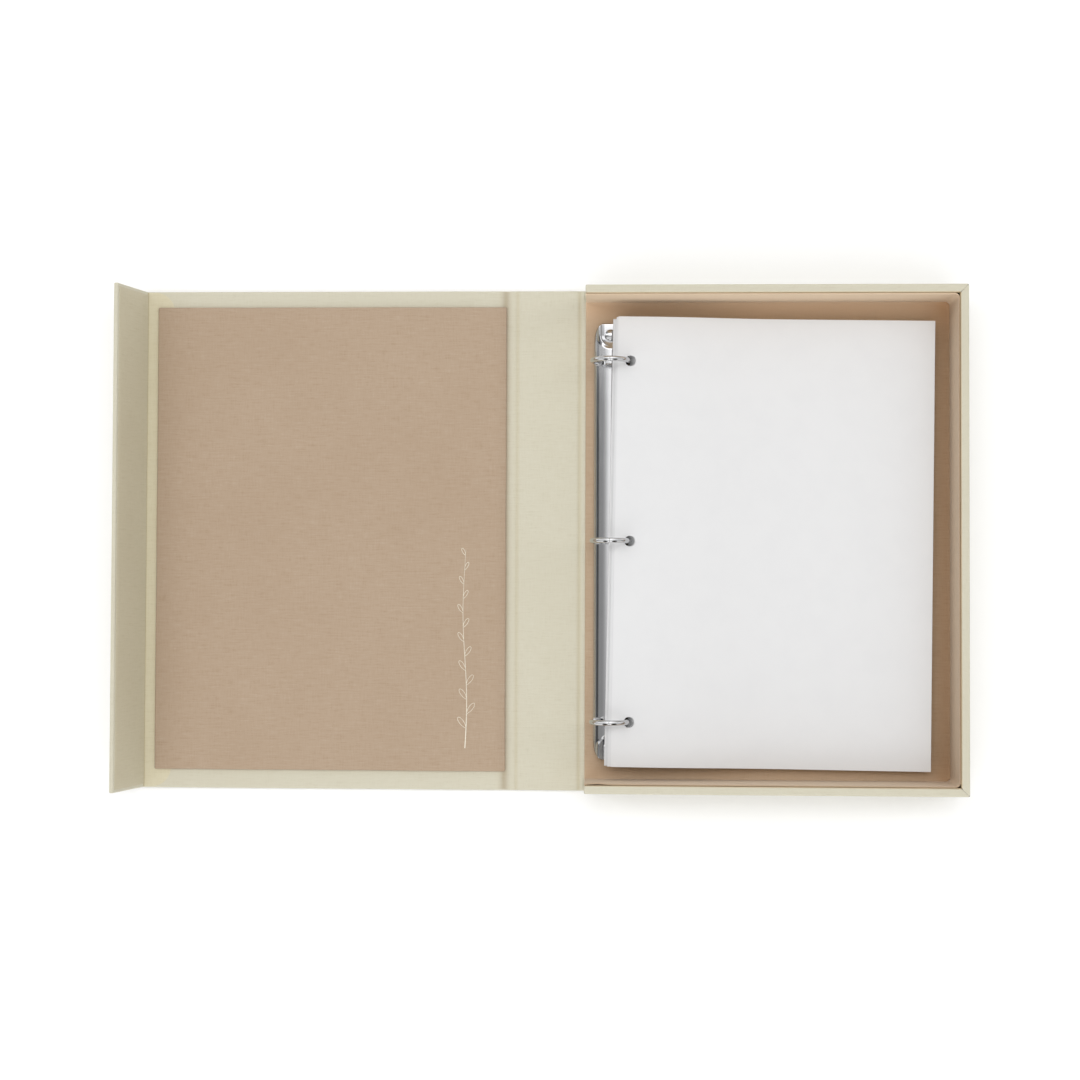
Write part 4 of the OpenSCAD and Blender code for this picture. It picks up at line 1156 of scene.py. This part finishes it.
@dataclass
class RingRail(SubAssembly):
    """The pressed steel rail on the tray's floor, its domed rivets and the two halves of each ring."""

    x: float = 42.789
    y: float = -0.8
    half_l: float = 131.85
    half_w: float = 9.8
    height: float = 6.0
    skirt: float = 1.5
    steel: float = 0.9
    end_l: float = 12.8
    seat_y: float = 124.25
    seat_r: float = 6.6
    seat_z: float = 8.0
    ring_z: float = 17.5
    ring_r: float = 10.65
    wire_r: float = 1.6
    seam_r: float = 0.55
    root_x: float = 5.325
    pitch: float = 107.95
    slot: tuple[float, float, float] = (3.35, 8.83, 1.5)

    def build(self) -> None:
        """Builds the rail, the rivets and the rings."""
        self.rail()
        self.rivets()
        self.half_rings("right_half_ring_wires", "right_ring_half", "right_half_rings", 1)
        self.half_rings("left_half_ring_wires", "left_ring_half", "left_half_rings", -1)

    def arch(self, x: Array) -> Array:
        """Height of the rail's crown at x from its middle: a circle through the tops of its upright edges."""
        rise = self.height - self.skirt
        r = (self.half_w ** 2 + rise ** 2) / (2 * rise)
        return PLAN.floor_z + self.height - r + np.sqrt(np.maximum(r ** 2 - x ** 2, 0))

    def rail(self) -> None:
        """The rail's top as a height over its plan: arched, with pressed seats at its ends, and slots at the rings.

        The half width at the ends follows |x / w| cubed plus |d / l| cubed = 1. The seat is a round that
        runs out at the end; across its edge the height goes from the seat to the arch by a smooth step.
        """
        y = ticks(-self.half_l, self.half_l, 4.0,
                  close=tuple(s * (self.half_l - 9.5) for s in (-1, 1)), reach=9.6, fine=0.28)
        cuts = [k * self.pitch + s * (self.slot[2] + g) for k in (-1, 0, 1) for s in (-1, 1) for g in (0.0, 0.28)]
        y = np.unique(np.concatenate([y[np.abs(y[:, None] - np.array(cuts)).min(axis=1) > 0.2], cuts]))
        t = np.linspace(-1, 1, 69)
        marks = np.array([s * c / self.half_w for s in (-1, 1)
                          for c in (self.slot[0] - 0.28, self.slot[0], self.slot[1], self.slot[1] + 0.28)])
        t = np.unique(np.concatenate([t[np.abs(t[:, None] - marks).min(axis=1) > 0.008], marks]))
        beyond = np.clip((np.abs(y) - (self.half_l - self.end_l)) / self.end_l, 0, 1) * 0.987
        half_w = self.half_w * (1 - beyond ** 3) ** (1 / 3)
        xx = t[:, None] * half_w[None, :]
        yy = np.broadcast_to(y, xx.shape)
        d = np.abs(yy) - self.seat_y
        away = np.where(d > 0, np.abs(xx), np.hypot(xx, d)) - self.seat_r
        arch = self.arch(xx)
        seat = self.seat_z - 0.1 + 0.95 * np.clip((away + 2.9) / 2.7, 0, 1) ** 1.2
        level = seat + (arch - seat) * smooth((away + 0.5) / 2.3)
        lip = 0.12 * bump(away, -0.3, 0.35)
        edge = np.minimum(half_w[None, :] - np.abs(xx), self.half_l - np.abs(yy))
        ends = smooth((np.abs(yy) - (self.half_l - self.end_l)) / 4)
        level = level + lip - ends * 0.9 * (1 - np.sqrt(np.maximum(1 - (1 - np.clip(edge / 0.9, 0, 1)) ** 2, 0)))
        top = np.stack([self.x + xx, self.y + yy, level], axis=-1)
        cx = (t[:-1] + t[1:]) / 2 * self.half_w
        cy = (y[:-1] + y[1:]) / 2
        in_x = (np.abs(cx) > self.slot[0]) & (np.abs(cx) < self.slot[1])
        in_y = np.abs(cy[:, None] - self.pitch * np.array([-1, 0, 1])).min(axis=1) < self.slot[2]
        work = Patchwork()
        work.grid(top, keep=~(in_x[:, None] & in_y[None, :]))
        for edge_line, turn in ((top[0], False), (top[-1], True), (top[:, 0], True), (top[:, -1], False)):
            foot = edge_line.copy()
            foot[:, 2] = PLAN.floor_z + 0.02
            rows = np.linspace(0, 1, 4)[:, None, None]
            work.grid(edge_line[None] * (1 - rows) + foot[None] * rows, flip=not turn)
        piece = work.make("rail_pressing", RAIL_CHROME, sharp=60.0)
        wall = piece.modifiers.new("steel", "SOLIDIFY")
        wall.thickness, wall.offset = self.steel * MM * 0.8, -1.0
        self.place(piece, "tray", "chrome", "ring_rail")

    def rivets(self) -> None:
        """Domed rivets: a head with a shallow collar, a shank and a spread foot, turned about their axes."""
        head_r, head_h = 3.7, 1.9
        a = np.linspace(0, math.pi / 2, 14)
        dome = np.stack([(head_r - 0.5) * np.sin(a), self.seat_z + 0.45 + (head_h - 0.45) * np.cos(a)], axis=1)
        lower = np.array([[head_r - 0.42, self.seat_z + 0.36], [head_r - 0.1, self.seat_z + 0.28],
                          [head_r, self.seat_z + 0.15], [head_r, self.seat_z - 0.24], [1.5, self.seat_z - 0.24],
                          [1.5, 0.8], [4.0, 0.78], [4.0, 0.32], [0.0, 0.32]])
        work = Patchwork()
        for side in (-1, 1):
            work.grid(lathe(np.concatenate([dome, lower]), self.x, self.y + side * self.seat_y))
        self.place(work.make("rail_rivet_domes", CHROME, turn_out=True), "tray", "chrome", "rail_rivets")

    def half_rings(self, name: str, body: str, node: str, side: int) -> None:
        """One half of each ring: a wire from its root in the rail round to the tip at the top.

        The tips lock like a tongue in a groove: the angle at which a half ends varies round the wire with the
        square of a cosine, out on one half and in on the other, with a hair's gap between them.
        """
        turn = np.linspace(math.radians(-60), math.pi / 2, 56)
        path = np.stack([self.ring_r * np.cos(turn), 0 * turn, self.ring_z + self.ring_r * np.sin(turn)], axis=1)
        root = np.linspace(5.4, path[0, 2] - 0.9, 5)
        stem = np.stack([np.full(5, self.root_x + 0.35), np.zeros(5), root], axis=1)
        path = np.concatenate([stem, path])
        radius = np.concatenate([np.full(5, 1.12), self.wire_r * np.minimum(1.0, 0.86 + np.linspace(0, 2.2, 56))])
        wire = tube(path, radius)
        phi = np.linspace(0, 2 * math.pi, wire.shape[1])
        tongue = np.cos(phi) ** 2 * 0.75 - 0.35
        last = smooth((np.arange(len(path)) - len(path) + 9) / 8.0)
        shift = last[:, None] * (side * tongue - 0.06)[None, :]
        wire[..., 0] -= shift
        tip = wire[-1]
        inset = tip.copy()
        inset[:, 0] += 0.10
        inset[:, 1:] = tip[:, 1:].mean(axis=0) + (tip[:, 1:] - tip[:, 1:].mean(axis=0)) * 0.86
        rings = [inset + (inset.mean(axis=0) - inset) * k for k in (0.0, 0.5, 1.0)]
        foot = [wire[0] + (wire[0].mean(axis=0) - wire[0]) * k for k in (1.0, 0.0)]
        wire[-1] = tip
        whole = np.concatenate([np.stack(foot), wire, np.stack(rings)])
        work = Patchwork()
        for k in (-1, 0, 1):
            placed = whole.copy()
            placed[..., 0] = self.x + side * placed[..., 0]
            placed[..., 1] += self.y + k * self.pitch
            work.grid(placed)
        self.place(work.make(name, CHROME, sharp=50.0, turn_out=True), body, "chrome", node)
        self.seams(name.replace("wires", "seams"), body, side)

    def seams(self, name: str, body: str, side: int) -> None:
        """The closing tongue's seam as painted shadow: a near-black thin line along the tail side of each tip.

        It is a tapering line sunk in the wire, turned from straight out of the ring towards the tail.
        """
        turn = math.pi / 2 - np.linspace(0.05, 0.40, 14)
        lean, depth = math.radians(26.0), self.wire_r - 0.6 * self.seam_r
        reach = self.ring_r + depth * math.cos(lean)
        path = np.stack([reach * np.cos(turn), np.full(14, -depth * math.sin(lean)),
                         self.ring_z + reach * np.sin(turn)], axis=1)
        line = tube(path, self.seam_r * np.sin(np.linspace(0.4, math.pi - 0.4, 14)), 12)
        line = np.concatenate([[line[0] * 0 + line[0].mean(axis=0)], line, [line[-1] * 0 + line[-1].mean(axis=0)]])
        work = Patchwork()
        for k in (-1, 0, 1):
            work.grid(line * np.array([side, 1.0, 1.0]) + np.array([self.x, self.y + k * self.pitch, 0.0]))
        self.place(work.make(name, SEAM_SHADOW, turn_out=True), body, "chrome")


@dataclass
class Sheets(SubAssembly):
    """Punched sheets on the rings: single sheets of card, fanned a little, sinking from the rail to the floor."""

    rail_x: float = 42.789
    rail_y: float = -1.0
    ring_z: float = 17.5
    hole_x: float = 11.78
    hole_r: float = 3.2
    slip: float = 0.8
    gap: float = 4.4
    edge_x: float = 2.75
    width: float = 189.8
    lean: tuple[float, float] = (0.0032, 0.007)
    length: float = 269.2
    pitch: float = 107.95
    skew: float = math.radians(0.65)
    top_z: float = 17.65
    sink_x: float = 18.5
    sink_l: float = 85.0
    sink: float = 6.3

    def build(self) -> None:
        """Builds the top sheet, the few under it and the lower stack."""
        rng = np.random.default_rng(17)
        top, none = self.top_z, (0.0, 0.0)
        self.stack("top_sheet_card", "turning_sheet", "top_sheet", [top], none, 0.3, rng, True)
        self.stack("middle_sheet_cards", "tray", "middle_sheets", top - 0.32 * np.arange(1, 6), (1.5, 0.5), 0.27, rng)
        self.stack("lower_sheet_cards", "tray", "lower_sheets", top - 0.32 * np.arange(6, 24), (3.34, 1.4), 0.28, rng)

    def flat(self, shift: tuple[float, float], hole_x: float,
             fine: bool) -> tuple[list[tuple[Array, Array | None]], list[Array]]:
        """A sheet in plan, from the middle of the rings: grids with square gaps, and a round hole in each gap.

        Its edge at the rings leans: x grows with y there, by a share that runs out before the holes.

        Args:
            shift: How far the sheet is moved towards the spine and towards the tail.
            hole_x: Where the middle of its holes is.
            fine: Whether the grid is close.

        Returns:
            Grids with the quads to keep, and the lines of the holes.
        """
        a, cells = self.gap, (8 if fine else 4)
        x0, y1 = self.edge_x - shift[0], self.length / 2 - shift[1]
        x1 = x0 + self.width
        near = np.linspace(hole_x - a, hole_x + a, cells + 1)
        step = 4.0 if fine else 9.0
        far = ticks(hole_x + a, x1, 2 * step, close=(self.sink_x + self.sink_l / 2,), reach=self.sink_l / 2, fine=step)
        x = np.concatenate([np.linspace(x0, near[0], 4)[:-1], near, far[1:]])
        knots = [-self.length / 2 + 0.3 * shift[1]]
        for k in (-1, 0, 1):
            gap = np.linspace(k * self.pitch - a, k * self.pitch + a, cells + 1)
            knots.extend(np.linspace(knots[-1], gap[0], 9 if fine else 5)[1:-1])
            knots.extend(gap)
        y = np.array(knots + list(np.linspace(knots[-1], y1, 5)[1:]))
        xx, yy = np.meshgrid(x, y, indexing="ij")
        xx += self.lean[0 if fine else 1] * yy * np.clip((near[0] - xx) / (near[0] - x0), 0, 1)
        cx, cy = (x[:-1] + x[1:]) / 2, (y[:-1] + y[1:]) / 2
        hit_y = np.abs(cy[:, None] - self.pitch * np.array([-1, 0, 1])).min(axis=1) < a
        grids: list[tuple[Array, Array | None]] = [
            (np.stack([xx, yy], axis=-1), ~((np.abs(cx - hole_x) < a)[:, None] & hit_y[None, :]))]
        s = np.linspace(-a, a, cells + 1)[:-1]
        full = np.full(cells, a)
        square = np.concatenate([np.stack([s, -full], 1), np.stack([full, s], 1),
                                 np.stack([-s, full], 1), np.stack([-full, -s], 1)])
        square = np.concatenate([square, square[:1]])
        angle = np.arctan2(square[:, 1], square[:, 0])
        circle = self.hole_r * np.stack([np.cos(angle), np.sin(angle)], axis=1)
        holes = []
        for k in (-1, 0, 1):
            middle = np.array([hole_x, k * self.pitch])
            rim = circle - np.array([self.slip * k * self.pitch * math.sin(self.skew), 0.0])
            rings = np.stack([middle + rim + (square - rim) * t for t in (0.0, 0.35, 1.0)])
            grids.append((rings, None))
            holes.append(middle + rim)
        return grids, holes

    def laid(self, plan: Array, level: float, turn: float, fine: bool) -> Array:
        """Plan points of a sheet put on the rings: skewed, sunk from the rail to the floor, and barely curled.

        The sheet sinks by half the depth times one less the cosine of pi times the way across the slope.
        """
        x, y = plan[..., 0], plan[..., 1]
        way = np.clip((x - self.sink_x) / self.sink_l, 0, 1)
        z = level - self.sink * (1 - np.cos(math.pi * way)) / 2
        hold = smooth((np.hypot(x - self.hole_x, np.abs(np.abs(y) - self.pitch * (np.abs(y) > 54))) - 6) / 30)
        if fine:
            z = z + hold * (0.10 * waves(x, y, 130.0, 41) + 0.16 * smooth((np.abs(y) - 110) / 25)
                            * smooth((x - 60) / 120))
        c, s = math.cos(turn), math.sin(turn)
        dx = x - self.hole_x
        return np.stack([self.rail_x + self.hole_x + dx * c + y * s, self.rail_y - dx * s + y * c, z], axis=-1)

    def stack(self, name: str, body: str, node: str, levels: Iterable[float], fan: tuple[float, float],
              thick: float, rng: np.random.Generator, fine: bool = False) -> None:
        """Single sheets laid on each other, each a closed card with three round holes.

        Args:
            name: Name of the piece.
            body: Body that it rides on.
            node: Node that it stands for.
            levels: Level of the top face of each sheet at the rings.
            fan: How far they are fanned towards the spine and towards the tail.
            thick: Thickness of a sheet.
            rng: Random generator for the small differences.
            fine: Whether the grid is close.
        """
        work = Patchwork()
        for level in levels:
            jog = rng.normal(0, 0.10, 2) if not fine else np.zeros(2)
            turn = self.skew + (rng.normal(0, 0.0004) if not fine else 0.0)
            drop = self.ring_z - level + thick / 2
            at = self.hole_x - 0.0615 * max(drop, 0.0) ** 2
            grids, holes = self.flat((fan[0] + jog[0], fan[1] + jog[1]), at, fine)
            for plan, keep in grids:
                top = self.laid(plan, level, turn, fine)
                low = top - np.array([0, 0, thick])
                flip = keep is None
                work.grid(top, keep=keep, flip=flip)
                work.grid(low, keep=keep, flip=not flip)
                if keep is not None:
                    for edge in (np.s_[0, :], np.s_[-1, :], np.s_[:, 0], np.s_[:, -1]):
                        work.grid(np.stack([top[edge], low[edge]]))
            for line in holes:
                top = self.laid(line, level, turn, fine)
                work.grid(np.stack([top, top - np.array([0, 0, thick])]))
        # Sheets under the top one get the darker card, painted shade.
        self.place(work.make(name, PAPER if fine else PAPER_SHADED_BELOW, turn_out=True), body, "paper", node)


@dataclass
class Hidden(SubAssembly):
    """Nodes of the frame that stay as they are: boards, magnets, blades and posts."""

    finishes: dict[str, Finish] = field(default_factory=lambda: {
        "base_board": BOARD, "spine_board": BOARD, "cover_board": BOARD, "flap_board": BOARD,
        "cover_panel_board": BOARD, "head_wall_board": BOARD, "tail_wall_board": BOARD,
        "fore_edge_wall_board": BOARD, "wall_magnets": MAGNET, "flap_magnets": MAGNET,
        "right_blade": CHROME, "left_blade": CHROME, "rail_posts": CHROME})

    def build(self) -> None:
        """Puts each node's finish in its material slots."""
        for name, finish in self.finishes.items():
            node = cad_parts[name]
            node.data.materials.clear()
            node.data.materials.append(finish.material())
            log.info("%s dressed in %s", name, finish.name)


# ---------- studio ----------

@dataclass
class Studio:
    """Pale floor, soft lights and the photograph's camera."""

    eye: tuple[float, float, float] = (0.045833, -0.031248, 1.154817)
    turn: tuple[float, float, float] = (1.557, 2.255, 0.229)
    lens: float = 63.45
    sky: float = 0.535
    strip: float = 0.81
    strip_w: float = 0.36
    head: float = 1.66
    tail: float = 0.44
    low: float = 1.75
    left: float = 0.15
    right: float = 0.24
    gap: float = 0.29

    def build(self) -> None:
        """Builds the floor, the sky and the camera."""
        self.floor()
        self.world()
        self.camera()

    def floor(self) -> None:
        """A wide disc just under the part: radius by angle."""
        r = np.array([0.0, 0.6, 1.2, 2.4, 4.8]) / MM
        phi = np.linspace(0, 2 * math.pi, 97)
        grid = np.stack([r[:, None] * np.cos(phi), r[:, None] * np.sin(phi), np.full((5, 97), -0.3)], axis=-1)
        work = Patchwork()
        work.grid(grid)
        work.make("studio_floor", StudioFloor())

    def world(self) -> None:
        """A white sky in soft bands, and plain display colours.

        Its strength is a base, plus a strip overhead that fades with the square of x, plus a high band past the
        head, a broad one past the tail and one low at the tail, less a shade at each side and a dark gap low at
        both sides. Seen directly it is plain white.
        """
        scene = bpy.context.scene
        scene.world = bpy.data.worlds.new("studio")
        tree = Tree(scene.world)
        towards = tree.add("ShaderNodeTexCoord", output="Generated")
        x, y = tree.part(towards, "X"), tree.part(towards, "Y")
        strip = (0.0 - x * x * self.strip_w ** -2).exponential() * y.limited(-0.10, 0.02)
        back = 0.0 - y
        head = y.limited(0.10, 0.20) - y.limited(0.40, 0.50)
        tail = back.limited(0.10, 0.50) - back.limited(0.60, 0.90)
        gap = x.size().limited(0.88, 0.92) - x.size().limited(0.97, 0.99)
        shade = (0.0 - x).limited(0.3, 0.7) * self.left + x.limited(0.3, 0.7) * self.right
        glow = (self.sky + strip * self.strip + head * self.head + tail * (2 * self.tail)
                + back.limited(0.8, 0.95) * self.low - shade - gap * self.gap)
        seen = tree.add("ShaderNodeLightPath", output="Is Camera Ray")
        sky = tree.add("ShaderNodeBackground", {},
                       {"Color": (1.0, 1.0, 1.0, 1.0), "Strength": glow * (1 - seen) + seen})
        tree.add("ShaderNodeOutputWorld", {"target": "ALL"}, {"Surface": sky})
        scene.view_settings.view_transform = "Standard"

    def camera(self) -> None:
        """The camera at the photograph's place: fitted to the edges of the box."""
        data = bpy.data.cameras.new("photograph")
        data.lens, data.sensor_width, data.sensor_fit = self.lens, 36.0, "AUTO"
        data.clip_start, data.clip_end = 0.05, 20.0
        camera = bpy.data.objects.new("photograph", data)
        bpy.context.scene.collection.objects.link(camera)
        camera.location = self.eye
        camera.rotation_euler = tuple(math.radians(a) for a in self.turn)
        bpy.context.scene.camera = camera


def main() -> None:
    """Builds the studio and every sub-assembly in order."""
    logging.basicConfig(level=logging.INFO, format="%(name)s: %(message)s")
    for assembly in (Studio(), Case(), Panel(), Tray(), RingRail(), Sheets(), Hidden()):
        assembly.build()
        log.info("%s built", type(assembly).__name__)


if __name__ == "__main__":
    main()
